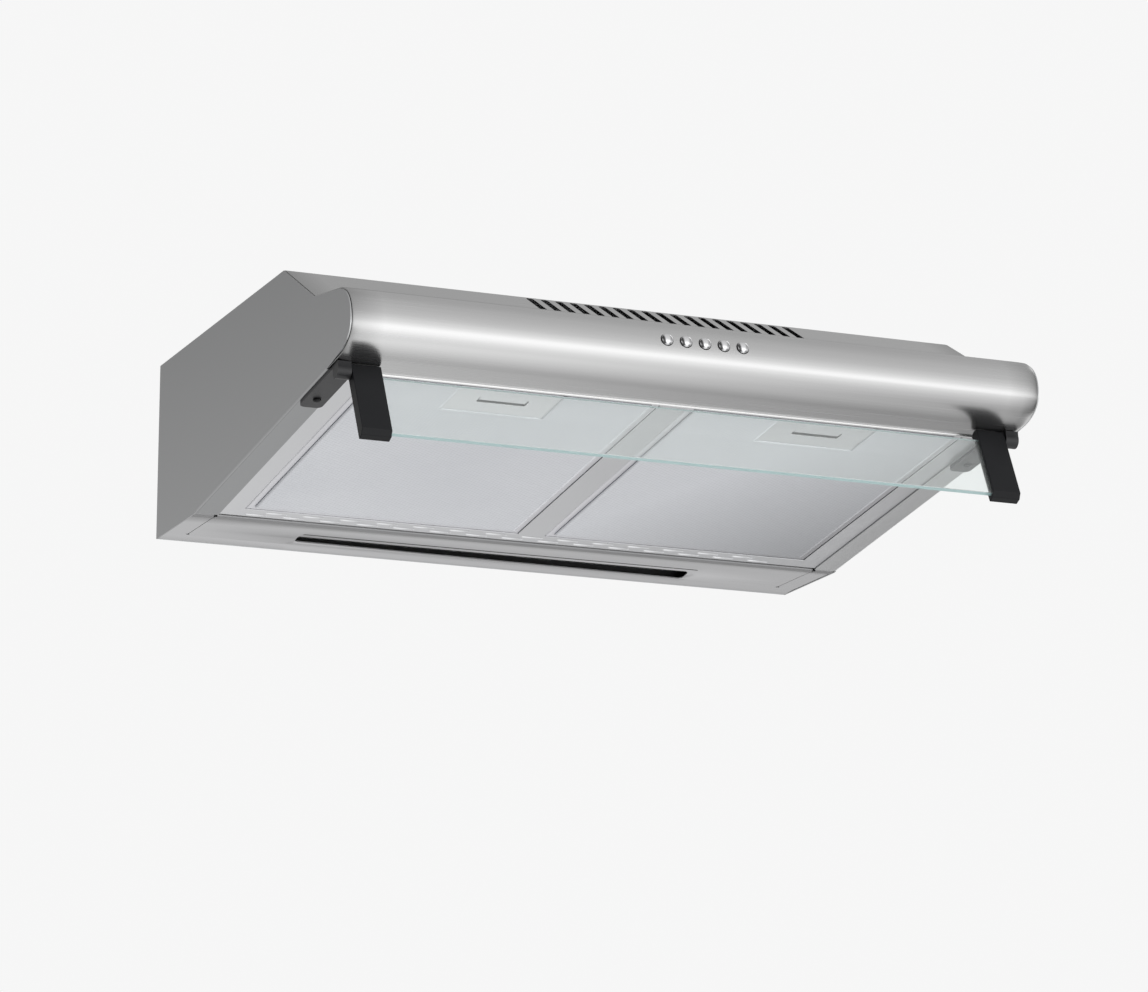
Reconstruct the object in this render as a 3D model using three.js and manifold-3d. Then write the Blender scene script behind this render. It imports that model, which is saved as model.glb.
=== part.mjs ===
// Under-cabinet range hood, 600 mm wide, with a swing-out glass visor.
// Right is +X, the front is -Y and up is +Z. The origin is the centre of the back panel's outer face.
// All heights below are taken from the underside of the hood; the last group lowers them by half the height.
import * as THREE from "three";
import { mergeVertices } from "three/addons/utils/BufferGeometryUtils.js";
import Module from "manifold-3d";

const wasm = await Module();
wasm.setup();

// ---------------------------------------------------------------- driving dimensions, millimetres
const WIDTH = 600;
const HEIGHT = 155;
const SHEET = 1; // sheet steel
const GAP = 0.3; // clearance between neighbouring pieces
const SLOT_MARGIN = 5; // how far a cutting tool runs past a face

const TOP_DEPTH = 333; // wall to the front bend of the top
const TOP_LAP = 19; // part of the top that belongs to the fascia sheet
const STRIP_DEPTH = 105; // flat rear part of the underside
const FLANGE = 21; // width of the side panels' bottom flange
const VALLEY = [-409, 114];
const CREST = [-470, 105.5];
const NOSE = [-498.5, 73];
const CHIN = [-468, 49.5];
const CREST_PULL = [17, 2.4]; // how far the nose curve leaves the crest along its tangent
const NOSE_PULL = { up: 18, down: 13 }; // the same above and below the foremost point
const CHIN_PULL = 15;
const LIP_Y = -443; // rear edge of the fascia under the nose
const LIP_RADIUS = 1.4;
const STRIP_LIPS = { front: 12, rear: 14 }; // upturned edges of the rear bottom strip
const FLANGE_REAR = -3; // where the bottom flange ends, in the underside plane
const TOP_FLANGE = { width: 12, front: 40 - TOP_DEPTH };
const WELD_LAP = 0.5; // how far one half of a folded sheet runs into the other
const CABINET_SCREW = { x: 262, y: [-40, -270], radius: 3 };

const VENT_COUNT = 19;
const VENT_PITCH = 12.9;
const VENT_CENTRE_X = 29;
const VENT_WIDTH = 6.4;
const VENT_LENGTH = 68;
const VENT_START = 2.5; // from the front bend, down the slope

const BUTTON_NAMES = ["button_off", "button_speed_1", "button_speed_2", "button_speed_3", "button_lamp"];
const BUTTON_PITCH = 16.5;
const BUTTON_RADIUS = 5;
const BUTTON_PLACE = 0.775; // share of the upper nose curve, from the crest
const BUTTON_PROUD = 3.6;
const BUTTON_HEAD_END = -6;
const BUTTON_CLEARANCE = 0.5;
const STEM_RADIUS = 2.5;
const STEM_END = -14;
const SWITCH = { halfWidth: 46, halfHeight: 9, front: -10, rear: -28, earEnd: 56, earHalf: 3, holeEnd: -19 };

const LAMP_SLOT = { halfLength: 185, y0: -48, y1: -25 };
const LAMP_TRAY = { halfLength: 194, y0: -61, y1: -12, top: 36, wall: 1.2 };
const LAMP_Y = -36.5;
const LAMP_Z = 23;
const LAMP_RADIUS = 8;
const LAMP_HALF_LENGTH = 148;
const SOCKET = { length: 18, half: 10 };
const LAMP_COVER_Z = [9.5, 11.5];

const WINDOW = { x0: 12, x1: 261, y0: -20, y1: -339 }; // one filter window, in the underside plane
const CARRIER_Z = [1.3, 2.3];
const CARRIER_HALF = 286;
const CARRIER_Y = [-352, -3.5];
const FILTER_Z = [1.6, 8.8];
const FILTER_RIM = 6.5;
const FILTER_PLAY = 0.6; // round a filter in its window
const FILTER_TAB = { x: [70, 208], half: 12, root: 1, reach: 9, z: [2.7, 3.9] };
const MESH_Z = [2, 4.4];
const LATCH_X = 139;
const LATCH_COVER = { halfWidth: 45, y0: -331.4, y1: -278, z: [1, 2], rail: 1, railTop: 6.4 };
const FINGER_GAP = { halfWidth: 21, y0: -312, y1: -300 };
const LATCH_TONGUE = { halfWidth: 14, rear: -321, z: [3.4, 5.4] };
const LATCH_PLATE = { halfWidth: 30, front: -322, legLength: 20, bridge: 4 };
const LATCH_GRIP = { halfWidth: 20, thickness: 7.4, bottom: 1.5 };
const LATCH_SPRING = { half: 8, turns: 8, step: 1.55, wire: 0.6, z: [3.6, 5.2] };

const HINGE_AXIS = [-457.5, 41.3]; // y and z of the visor's hinge line
const VISOR_TILT = 26; // degrees forward of hanging straight down
const PIN_RADIUS = 2.5;
const PIN = { bite: 11, outer: 293, boreStart: 270, boreEnd: 294 };
const ARM = { x0: 261, x1: 286, thickness: 10, length: 63.5, bevel: 4, topSteps: 8 };
const GLASS = { thickness: 4, top: -4, bottom: -60, bite: 8 };
const HINGE_BASE = { x0: 279.3, x1: 298, rear: -267, thickness: 3, corner: 5 };
const HINGE_SCREW = { y: -285, head: 3.4, shank: 1.7, reach: 6 };
const KNUCKLE_RADIUS = 6.4;
const FOOT_START = 16; // the foot is narrow this far behind the hinge line, beside the arm

const COLLAR = { y: -162, inner: 57.5, wall: 2, flange: 70, top: 180 };
const COLLAR_FLANGE = 1.8; // thickness of the flange
const COLLAR_LEDGE = { inner: 54.5, top: 161, thickness: 1.5 };
const COLLAR_SCREW = { circle: 64.6, head: 3, shank: 1.5, reach: 6 };
const FLAP_PIN = { z: 163.2, radius: 1.5, half: 56.5, boreHalf: 57 };
const PIN_EAR = { half: 4, depth: 4, rise: 3.5 }; // the collar's ears that hold the flap pin
const FLAP = { thickness: 1.2, radius: 56.5, axisGap: 2.3, earRoom: 6.5 };
const BARREL = { radius: 3.1, length: 8, room: 3.7, clearance: 0.5, left: 28, right: 40 };

const FAN_AXIS = [-200, 88]; // y and z of the fan shaft
const FAN_RADIUS = 38;
const FAN_X = [-52, 50];
const FAN_BLADE = { count: 24, chord: 7.5, thickness: 1, pitch: 35, inset: 4.4 };
const FAN_HUB = { radius: 9, length: 14, plate: 2, inset: 2 };
const FAN_RING = { width: 8, thickness: 3 };
const SCROLL_X = [-65, 65];
const INLET_RADIUS = 31;
const MOTOR_OPENING = 35;
const SCROLL_WALL = 1.6;
const SCROLL_START = 75; // degrees from the rear, at the tongue
const SCROLL_RADII = [44, 66]; // at the tongue and after one turn
const SCROLL_STEP = 15;
const OUTLET_Y = [-200, -124];
const OUTLET_TOP = 152.5;
const SHAFT = { radius: 4, x0: 38, x1: 121 };
const MOTOR = { x0: 67.9, x1: 112, radius: 31, endRadius: 26, step: 6, bearing: 11 };
const MOTOR_LUG = { circle: 22, radius: 4, places: [30, 150, 270] };
const BRACKET = { rim: [37, 45], hub: 28, spoke: [25, 41], spokeWidth: 12, places: [90, 210, 330] };

const GLAND = { x: 215, y: -60, bore: 5.5, body: 9, neck: 7.5, flange: 13 };
const GLAND_HEIGHTS = { below: 14, flange: 4, above: 12, nut: 5 };
const KEYHOLE = { x: 200, z: 118, head: 5, neck: 3, drop: 12 };
const TERMINAL_BOX = { x: [225, 285], y0: -38, z: [58, 102], wall: 2, cover: 3 };
const CAPACITOR = { y: -20, z: 112, radius: 15, x: [118, 176] };
const CLIP = { x: [140, 152], wall: 1.4, footHalf: 16, footDepth: 4 };

// ---------------------------------------------------------------- materials
function finish(color, roughness, metalness, opacity = 1) {
  return new THREE.MeshStandardMaterial({ color, roughness, metalness, opacity, transparent: opacity < 1 });
}

const steel = finish(0x9a9a9c, 0.35, 0.9);
const zinc = finish(0xa9abae, 0.5, 0.8);
const aluminium = finish(0xc6c8cc, 0.45, 0.85);
const blackPlastic = finish(0x232328, 0.5, 0);
const greyPlastic = finish(0x6d6f72, 0.6, 0);
const whitePlastic = finish(0xe6e4de, 0.5, 0);
const chrome = finish(0xd8d9dc, 0.12, 1);
const clearGlass = finish(0xc5d5d3, 0.05, 0, 0.35);
const lampGlass = finish(0xf1efe6, 0.3, 0, 0.8);
const castMetal = finish(0x5c5e61, 0.6, 0.6);

// ---------------------------------------------------------------- solids
// A closed three.js geometry as a manifold solid.
function solid(geometry) {
  const loose = geometry.index ? geometry.toNonIndexed() : geometry;
  const bare = new THREE.BufferGeometry().setAttribute("position", loose.getAttribute("position"));
  const merged = mergeVertices(bare, 1e-4);
  const vertProperties = merged.attributes.position.array;
  const triVerts = new Uint32Array(merged.index.array);
  return new wasm.Manifold(new wasm.Mesh({ numProp: 3, vertProperties, triVerts }));
}

function join(first, ...others) {
  return others.reduce((sum, other) => sum.add(other), first);
}

function cut(first, ...tools) {
  return tools.reduce((rest, tool) => rest.subtract(tool), first);
}

function block([xa, xb], [ya, yb], [za, zb]) {
  const size = [Math.abs(xb - xa), Math.abs(yb - ya), Math.abs(zb - za)];
  const geometry = new THREE.BoxGeometry(...size);
  return solid(geometry.translate((xa + xb) / 2, (ya + yb) / 2, (za + zb) / 2));
}

function extrude(outline, depth) {
  const shape = new THREE.Shape(outline.map(([a, b]) => new THREE.Vector2(a, b)));
  return new THREE.ExtrudeGeometry(shape, { depth, bevelEnabled: false });
}

// An outline in Y and Z, extruded from one X to another.
function prismX(outline, [xa, xb]) {
  const basis = new THREE.Matrix4().makeBasis(
    new THREE.Vector3(0, 1, 0),
    new THREE.Vector3(0, 0, 1),
    new THREE.Vector3(1, 0, 0),
  );
  const geometry = extrude(outline, Math.abs(xb - xa)).applyMatrix4(basis);
  return solid(geometry.translate(Math.min(xa, xb), 0, 0));
}

// An outline in X and Y, extruded from one Z to another.
function prismZ(outline, [za, zb]) {
  return solid(extrude(outline, zb - za).translate(0, 0, za));
}

function rodX(y, z, radius, [xa, xb], sides = 24) {
  const geometry = new THREE.CylinderGeometry(radius, radius, Math.abs(xb - xa), sides);
  return solid(geometry.rotateZ(Math.PI / 2).translate((xa + xb) / 2, y, z));
}

function rodY(x, z, radius, [ya, yb], sides = 24) {
  const geometry = new THREE.CylinderGeometry(radius, radius, Math.abs(yb - ya), sides);
  return solid(geometry.translate(x, (ya + yb) / 2, z));
}

function rodZ(x, y, radius, [za, zb], sides = 24) {
  const geometry = new THREE.CylinderGeometry(radius, radius, Math.abs(zb - za), sides);
  return solid(geometry.rotateX(Math.PI / 2).translate(x, y, (za + zb) / 2));
}

// A turned piece: radii and heights in profile, round the Z axis.
function turned(profile, sides = 24) {
  const points = profile.map(([radius, height]) => new THREE.Vector2(radius, height));
  return solid(new THREE.LatheGeometry(points, sides).rotateX(Math.PI / 2));
}

// The closed outline of a sheet that follows a path, with its thickness to the left of the path.
function band(path, thickness) {
  const normal = (from, to) => {
    const length = Math.hypot(to[0] - from[0], to[1] - from[1]);
    return [-(to[1] - from[1]) / length, (to[0] - from[0]) / length];
  };
  const inner = path.map((point, i) => {
    const before = i > 0 ? normal(path[i - 1], point) : normal(point, path[1]);
    const after = i < path.length - 1 ? normal(point, path[i + 1]) : before;
    const scale = thickness / (1 + before[0] * after[0] + before[1] * after[1]);
    return [point[0] + (before[0] + after[0]) * scale, point[1] + (before[1] + after[1]) * scale];
  });
  return [...path, ...inner.reverse()];
}

// ---------------------------------------------------------------- scene graph
const hood = new THREE.Group();
hood.position.z = -HEIGHT / 2;

const range_hood = new THREE.Group();
range_hood.add(hood);

function place(name, shape, material, parent = hood) {
  const { vertProperties, triVerts } = shape.getMesh();
  const geometry = new THREE.BufferGeometry();
  geometry.setAttribute("position", new THREE.BufferAttribute(vertProperties, 3));
  geometry.setIndex(new THREE.BufferAttribute(triVerts, 1));
  geometry.computeVertexNormals();
  const mesh = new THREE.Mesh(geometry, material);
  mesh.name = name;
  parent.add(mesh);
}

const SIDES = [
  { name: "left", sign: -1 },
  { name: "right", sign: 1 },
];

// The underside slopes up from the rear strip to the chin. This group lies in that slope:
// its -Y runs along it towards the front, and its +Z stands on it, into the hood.
const SLOPE = Math.atan2(CHIN[1], -STRIP_DEPTH - CHIN[0]);
const underside = new THREE.Group();
underside.position.y = -STRIP_DEPTH;
underside.rotation.x = -SLOPE;
hood.add(underside);

function undersidePoint(y, z) {
  const along = y * Math.cos(SLOPE) + z * Math.sin(SLOPE);
  return [along - STRIP_DEPTH, z * Math.cos(SLOPE) - y * Math.sin(SLOPE)];
}

// A point of the hood in the underside group's own Y and Z.
function inUnderside([y, z]) {
  const forward = y + STRIP_DEPTH;
  return [forward * Math.cos(SLOPE) - z * Math.sin(SLOPE), forward * Math.sin(SLOPE) + z * Math.cos(SLOPE)];
}

// ---------------------------------------------------------------- outer profile
const INNER_X = WIDTH / 2 - SHEET - GAP; // where the pieces between the side panels end
const LIP = [LIP_Y, (-LIP_Y - STRIP_DEPTH) * Math.tan(SLOPE)];

const upperNose = new THREE.CubicBezierCurve(
  new THREE.Vector2(...CREST),
  new THREE.Vector2(CREST[0] - CREST_PULL[0], CREST[1] - CREST_PULL[1]),
  new THREE.Vector2(NOSE[0], NOSE[1] + NOSE_PULL.up),
  new THREE.Vector2(...NOSE),
);
const lowerNose = new THREE.CubicBezierCurve(
  new THREE.Vector2(...NOSE),
  new THREE.Vector2(NOSE[0], NOSE[1] - NOSE_PULL.down),
  new THREE.Vector2(CHIN[0] - CHIN_PULL, CHIN[1] + CHIN_PULL * Math.tan(SLOPE)),
  new THREE.Vector2(...CHIN),
);
const NOSE_STEPS = 8;
const nosePoints = [...upperNose.getPoints(NOSE_STEPS), ...lowerNose.getPoints(NOSE_STEPS).slice(1)];
const noseOutline = nosePoints.map((point) => [point.x, point.y]);

// ---------------------------------------------------------------- casing
// A pan-head screw that points down from a face: its head stands on the face, its shank goes below it.
function screw({ head, shank, reach }) {
  const profile = [
    [0, -reach],
    [shank, -reach],
    [shank, 0],
    [head, 0],
    [head, 1],
    [head * 0.6, 1.9],
    [0, 2.1],
  ];
  return turned(profile, 12);
}

function frontFascia() {
  const path = [[TOP_LAP - TOP_DEPTH, HEIGHT], [-TOP_DEPTH, HEIGHT], VALLEY, ...noseOutline, LIP];
  const sheet = prismX(band(path, SHEET), [-INNER_X, INNER_X]);
  const hemX = WIDTH / 2 - FLANGE - 2 * GAP;
  const hem = rodX(LIP[0], LIP[1] + SHEET - LIP_RADIUS, LIP_RADIUS, [-hemX, hemX], 10);
  return cut(join(sheet, hem), ...ventCutters(), ...buttonHoles());
}

function ventCutters() {
  const fall = Math.atan2(HEIGHT - VALLEY[1], -TOP_DEPTH - VALLEY[0]);
  const middle = VENT_START + VENT_LENGTH / 2;
  const y = -TOP_DEPTH - middle * Math.cos(fall);
  const z = HEIGHT - middle * Math.sin(fall);
  return Array.from({ length: VENT_COUNT }, (_, i) => {
    const x = VENT_CENTRE_X + (i - (VENT_COUNT - 1) / 2) * VENT_PITCH;
    const cutter = new THREE.BoxGeometry(VENT_WIDTH, VENT_LENGTH, SLOT_MARGIN);
    return solid(cutter.rotateX(fall).translate(x, y, z));
  });
}

// The buttons stand square on the nose. This group's +Z points out of the hood along their travel.
const buttonSeat = upperNose.getPoint(BUTTON_PLACE);
const seatTangent = upperNose.getTangent(BUTTON_PLACE);
const controls = new THREE.Group();
controls.position.set(0, buttonSeat.x, buttonSeat.y);
controls.rotation.x = Math.atan2(-seatTangent.y, -seatTangent.x);
hood.add(controls);

function buttonX(index) {
  return (index - (BUTTON_NAMES.length - 1) / 2) * BUTTON_PITCH;
}

function buttonHoles() {
  controls.updateMatrix();
  return BUTTON_NAMES.map((_, i) => {
    const radius = BUTTON_RADIUS + BUTTON_CLEARANCE;
    const hole = new THREE.CylinderGeometry(radius, radius, 4 * SLOT_MARGIN, 24);
    hole.rotateX(Math.PI / 2).translate(buttonX(i), 0, 0);
    return solid(hole.applyMatrix4(controls.matrix));
  });
}

function topPanel() {
  const depth = [TOP_LAP - TOP_DEPTH + GAP, -SHEET - GAP];
  const sheet = block([-INNER_X, INNER_X], depth, [HEIGHT - SHEET, HEIGHT]);
  const through = [HEIGHT - SLOT_MARGIN, HEIGHT + SLOT_MARGIN];
  const cabinetScrews = [-1, 1].flatMap((side) =>
    CABINET_SCREW.y.map((y) => rodZ(side * CABINET_SCREW.x, y, CABINET_SCREW.radius, through, 16)),
  );
  const ductHole = rodZ(0, COLLAR.y, COLLAR.inner, through, 48);
  const glandHole = rodZ(GLAND.x, GLAND.y, GLAND.body + GAP, through);
  return cut(sheet, ductHole, glandHole, ...cabinetScrews, ...collarScrewHoles(through));
}

// The collar's four screws stand round its flange, halfway between the sides.
const COLLAR_SCREWS = [45, 135, 225, 315].map((degrees) => {
  const angle = THREE.MathUtils.degToRad(degrees);
  return [COLLAR_SCREW.circle * Math.cos(angle), COLLAR.y + COLLAR_SCREW.circle * Math.sin(angle)];
});

function collarScrewHoles(span) {
  return COLLAR_SCREWS.map(([x, y]) => rodZ(x, y, COLLAR_SCREW.shank + GAP, span, 12));
}

function backPanel() {
  const sheet = block([-INNER_X, INNER_X], [-SHEET, 0], [0, HEIGHT]);
  const through = [-SLOT_MARGIN, SLOT_MARGIN];
  const keyholes = [-1, 1].flatMap((side) => {
    const x = side * KEYHOLE.x;
    const neck = block([x - KEYHOLE.neck, x + KEYHOLE.neck], through, [KEYHOLE.z, KEYHOLE.z + KEYHOLE.drop]);
    return [rodY(x, KEYHOLE.z, KEYHOLE.head, through), neck];
  });
  return cut(sheet, ...keyholes);
}

function sidePanel(sign) {
  const outline = [[0, 0], [0, HEIGHT], [-TOP_DEPTH, HEIGHT], VALLEY, ...noseOutline, [-STRIP_DEPTH, 0]];
  const outer = (sign * WIDTH) / 2;
  const inner = outer - sign * SHEET;
  const plate = prismX(outline, [inner, outer]);
  const lipClear = GAP + LIP_RADIUS;
  const flangeFront = [LIP_Y + lipClear, LIP[1] - lipClear * Math.tan(SLOPE)];
  const flangePath = [flangeFront, undersidePoint(FLANGE_REAR, 0)];
  const lap = outer - sign * WELD_LAP;
  const flange = prismX(band(flangePath, SHEET), [outer - sign * FLANGE, lap]);
  const topZ = [HEIGHT - 2 * SHEET - GAP, HEIGHT - SHEET - GAP];
  const topFlange = block([outer - sign * TOP_FLANGE.width, lap], [TOP_FLANGE.front, -2 * SHEET], topZ);
  const [screwY, screwZ] = undersidePoint(HINGE_SCREW.y, 0);
  const screwX = (sign * (HINGE_BASE.x0 + HINGE_BASE.x1)) / 2;
  const holeRadius = HINGE_SCREW.shank + GAP;
  const screwHole = new THREE.CylinderGeometry(holeRadius, holeRadius, 2 * SLOT_MARGIN, 12);
  screwHole.rotateX(Math.PI / 2 - SLOPE).translate(screwX, screwY, screwZ);
  return cut(join(plate, flange, topFlange), solid(screwHole));
}

function rearBottomStrip() {
  const front = -STRIP_DEPTH;
  const rear = -SHEET - GAP;
  const path = [[front, STRIP_LIPS.front], [front, 0], [rear, 0], [rear, STRIP_LIPS.rear]];
  const channel = prismX(band(path, SHEET), [-INNER_X, INNER_X]);
  const { halfLength, y0, y1 } = LAMP_SLOT;
  return cut(channel, block([-halfLength, halfLength], [y0, y1], [-SLOT_MARGIN, SLOT_MARGIN]));
}

place("front_fascia", frontFascia(), steel);
place("top_panel", topPanel(), steel);
place("back_panel", backPanel(), zinc);
place("rear_bottom_strip", rearBottomStrip(), steel);
for (const { name, sign } of SIDES) place("side_panel_" + name, sidePanel(sign), steel);

// ---------------------------------------------------------------- grease filters, in the underside group
function filterCarrier() {
  const plate = block([-CARRIER_HALF, CARRIER_HALF], CARRIER_Y, CARRIER_Z);
  const windows = [-1, 1].map((sign) =>
    block([sign * WINDOW.x0, sign * WINDOW.x1], [WINDOW.y1, WINDOW.y0], [0, 2 * SLOT_MARGIN]),
  );
  return cut(plate, ...windows);
}

const FILTER = {
  x0: WINDOW.x0 + FILTER_PLAY,
  x1: WINDOW.x1 - FILTER_PLAY,
  y0: WINDOW.y1 + FILTER_PLAY,
  y1: WINDOW.y0 - FILTER_PLAY,
};

// The rolled rim, with two tabs that hook over the carrier and a notch for the latch.
function filterFrame(sign) {
  const rim = block([sign * FILTER.x0, sign * FILTER.x1], [FILTER.y0, FILTER.y1], FILTER_Z);
  const opening = block(
    [sign * (FILTER.x0 + FILTER_RIM), sign * (FILTER.x1 - FILTER_RIM)],
    [FILTER.y0 + FILTER_RIM, FILTER.y1 - FILTER_RIM],
    [-SLOT_MARGIN, 3 * SLOT_MARGIN],
  );
  const tabY = [FILTER.y1 - FILTER_TAB.root, FILTER.y1 + FILTER_TAB.reach];
  const tabs = FILTER_TAB.x.map((x) =>
    block([sign * (x - FILTER_TAB.half), sign * (x + FILTER_TAB.half)], tabY, FILTER_TAB.z),
  );
  const half = LATCH_TONGUE.halfWidth + GAP;
  const notch = block(
    [sign * LATCH_X - half, sign * LATCH_X + half],
    [FILTER.y0 - 1, FILTER.y0 + FILTER_RIM + 1],
    [LATCH_TONGUE.z[0] - GAP, LATCH_TONGUE.z[1] + GAP],
  );
  return cut(join(rim, ...tabs), opening, notch);
}

function filterMesh(sign) {
  const inset = FILTER_RIM + GAP;
  const pack = block(
    [sign * (FILTER.x0 + inset), sign * (FILTER.x1 - inset)],
    [FILTER.y0 + inset, FILTER.y1 - inset],
    MESH_Z,
  );
  const { halfWidth, y0, y1 } = LATCH_COVER;
  const latchRoom = block(
    [sign * LATCH_X - halfWidth - GAP, sign * LATCH_X + halfWidth + GAP],
    [y0 - 2 * SLOT_MARGIN, y1 + GAP],
    [0, 2 * SLOT_MARGIN],
  );
  return cut(pack, latchRoom);
}

// The pressed plate round the finger gap.
function latchCover(sign) {
  const centre = sign * LATCH_X;
  const { halfWidth, y0, y1, z, rail, railTop } = LATCH_COVER;
  const plate = block([centre - halfWidth, centre + halfWidth], [y0, y1], z);
  const gap = block(
    [centre - FINGER_GAP.halfWidth, centre + FINGER_GAP.halfWidth],
    [FINGER_GAP.y0, FINGER_GAP.y1],
    [0, SLOT_MARGIN],
  );
  const rails = [-1, 1].map((side) =>
    block([centre + side * (halfWidth - rail), centre + side * halfWidth], [y0, y1], [z[0], railTop]),
  );
  return cut(join(plate, ...rails), gap);
}

// The sliding latch: a U-shaped plate with the tongue in front and a grip down into the finger gap.
function filterLatch(sign) {
  const centre = sign * LATCH_X;
  const { z } = LATCH_TONGUE;
  const { halfWidth, front, legLength, bridge } = LATCH_PLATE;
  const gripFront = FINGER_GAP.y0 + GAP;
  const gripRear = gripFront + LATCH_GRIP.thickness;
  const legRear = gripFront + legLength;
  const across = (half) => [centre - half, centre + half];
  const plate = block(across(halfWidth), [front, gripRear], z);
  const tongue = block(across(LATCH_TONGUE.halfWidth), [FILTER.y0, LATCH_TONGUE.rear], z);
  const grip = block(across(LATCH_GRIP.halfWidth), [gripFront, gripRear], [LATCH_GRIP.bottom, z[1]]);
  const legs = [-1, 1].map((side) => {
    const legX = [centre + side * (FINGER_GAP.halfWidth + 1), centre + side * halfWidth];
    return block(legX, [gripFront, legRear], z);
  });
  const bridgeBar = block(across(halfWidth), [legRear - bridge, legRear], z);
  return join(plate, tongue, grip, ...legs, bridgeBar);
}

// A flat zigzag spring behind the latch, towards the rear end of its pocket.
function latchSpring(sign) {
  const centre = sign * LATCH_X;
  const { half, turns, step, wire, z } = LATCH_SPRING;
  const start = FINGER_GAP.y0 + 2 * GAP + LATCH_PLATE.legLength + wire;
  const path = Array.from({ length: turns }, (_, i) => [centre + (i % 2 ? half : -half), start + i * step]);
  return prismZ(band(path, wire), z);
}

place("filter_carrier", filterCarrier(), steel, underside);
for (const { name, sign } of SIDES) {
  place("filter_frame_" + name, filterFrame(sign), aluminium, underside);
  place("filter_mesh_" + name, filterMesh(sign), aluminium, underside);
  place("latch_cover_" + name, latchCover(sign), aluminium, underside);
  place("filter_latch_" + name, filterLatch(sign), aluminium, underside);
  place("latch_spring_" + name, latchSpring(sign), zinc, underside);
}

// ---------------------------------------------------------------- visor
const HINGE_LOCAL = inUnderside(HINGE_AXIS);
const HINGE_SCREW_X = (HINGE_BASE.x0 + HINGE_BASE.x1) / 2;

// A foot on the side flange with the knuckle at its front end.
function hingeBase(sign) {
  const { x0, x1, rear, thickness, corner } = HINGE_BASE;
  const z = [-GAP - thickness, -GAP];
  const [axisY, axisZ] = HINGE_LOCAL;
  const foot = block([sign * x0, sign * x1], [axisY + FOOT_START, rear - corner], z);
  const heel = join(
    block([sign * (x0 + corner), sign * (x1 - corner)], [rear - corner, rear], z),
    rodZ(sign * (x0 + corner), rear - corner, corner, z),
    rodZ(sign * (x1 - corner), rear - corner, corner, z),
  );
  const knuckleX = [sign * (ARM.x1 + 2 * GAP), sign * x1];
  const knuckle = join(
    rodX(axisY, axisZ, KNUCKLE_RADIUS, knuckleX),
    block(knuckleX, [axisY - KNUCKLE_RADIUS, axisY + KNUCKLE_RADIUS], [axisZ, -GAP]),
    block(knuckleX, [axisY, axisY + FOOT_START + 1], z),
  );
  const pinBore = rodX(axisY, axisZ, PIN_RADIUS + GAP, [sign * PIN.boreStart, sign * PIN.boreEnd]);
  const past = [z[0] - 1, z[1] + 1];
  const screwHole = rodZ(sign * HINGE_SCREW_X, HINGE_SCREW.y, HINGE_SCREW.shank + GAP, past, 12);
  return cut(join(foot, heel, knuckle), pinBore, screwHole);
}

for (const { name, sign } of SIDES) {
  place("hinge_base_" + name, hingeBase(sign), blackPlastic, underside);
  // The screw goes up through the foot, so its own group is turned over.
  const stand = new THREE.Group();
  stand.position.set(sign * HINGE_SCREW_X, HINGE_SCREW.y, -HINGE_BASE.thickness - 2 * GAP);
  stand.rotation.x = Math.PI;
  underside.add(stand);
  place("hinge_screw_" + name, screw(HINGE_SCREW), zinc, stand);
}

// The visor group turns on the hinge line; the arms hang along its -Z.
const visor = new THREE.Group();
visor.position.set(0, ...HINGE_AXIS);
visor.rotation.x = THREE.MathUtils.degToRad(-VISOR_TILT);
hood.add(visor);

function visorArm(sign) {
  const half = ARM.thickness / 2;
  const start = Math.acos(half / KNUCKLE_RADIUS);
  const top = Array.from({ length: ARM.topSteps + 1 }, (_, i) => {
    const turn = start + ((Math.PI - 2 * start) * i) / ARM.topSteps;
    return [KNUCKLE_RADIUS * Math.cos(turn), KNUCKLE_RADIUS * Math.sin(turn)];
  });
  const tip = -ARM.length;
  const outline = [...top, [-half, tip + ARM.bevel], [ARM.bevel - half, tip], [half, tip]];
  const span = [sign * ARM.x0, sign * ARM.x1];
  const body = prismX(outline, span);
  const slotHalf = GLASS.thickness / 2 + GAP;
  const slot = block(
    [sign * (ARM.x0 - 1), sign * (ARM.x0 + GLASS.bite + GAP)],
    [-slotHalf, slotHalf],
    [GLASS.bottom - GAP, GLASS.top + GAP],
  );
  const bore = rodX(0, 0, PIN_RADIUS + GAP, [sign * (ARM.x1 - PIN.bite - 1), sign * (ARM.x1 + 1)]);
  return cut(body, slot, bore);
}

for (const { name, sign } of SIDES) {
  place("visor_arm_" + name, visorArm(sign), blackPlastic, visor);
  const pin = rodX(0, 0, PIN_RADIUS, [sign * (ARM.x1 - PIN.bite), sign * PIN.outer]);
  place("hinge_pin_" + name, pin, zinc, visor);
}
const glassX = ARM.x0 + GLASS.bite;
const glassY = GLASS.thickness / 2;
const pane = block([-glassX, glassX], [-glassY, glassY], [GLASS.bottom, GLASS.top]);
place("visor_glass", pane, clearGlass, visor);

// ---------------------------------------------------------------- buttons and switch block
const buttonProfile = [
  [0, STEM_END],
  [STEM_RADIUS, STEM_END],
  [STEM_RADIUS, BUTTON_HEAD_END],
  [BUTTON_RADIUS, BUTTON_HEAD_END],
  [BUTTON_RADIUS, BUTTON_PROUD - 1.2],
  [BUTTON_RADIUS - 0.7, BUTTON_PROUD - 0.4],
  [BUTTON_RADIUS - 2, BUTTON_PROUD],
  [0, BUTTON_PROUD],
];
BUTTON_NAMES.forEach((name, i) => {
  const button = new THREE.Group();
  button.position.x = buttonX(i);
  controls.add(button);
  place(name, turned(buttonProfile, 20), chrome, button);
});

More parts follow.
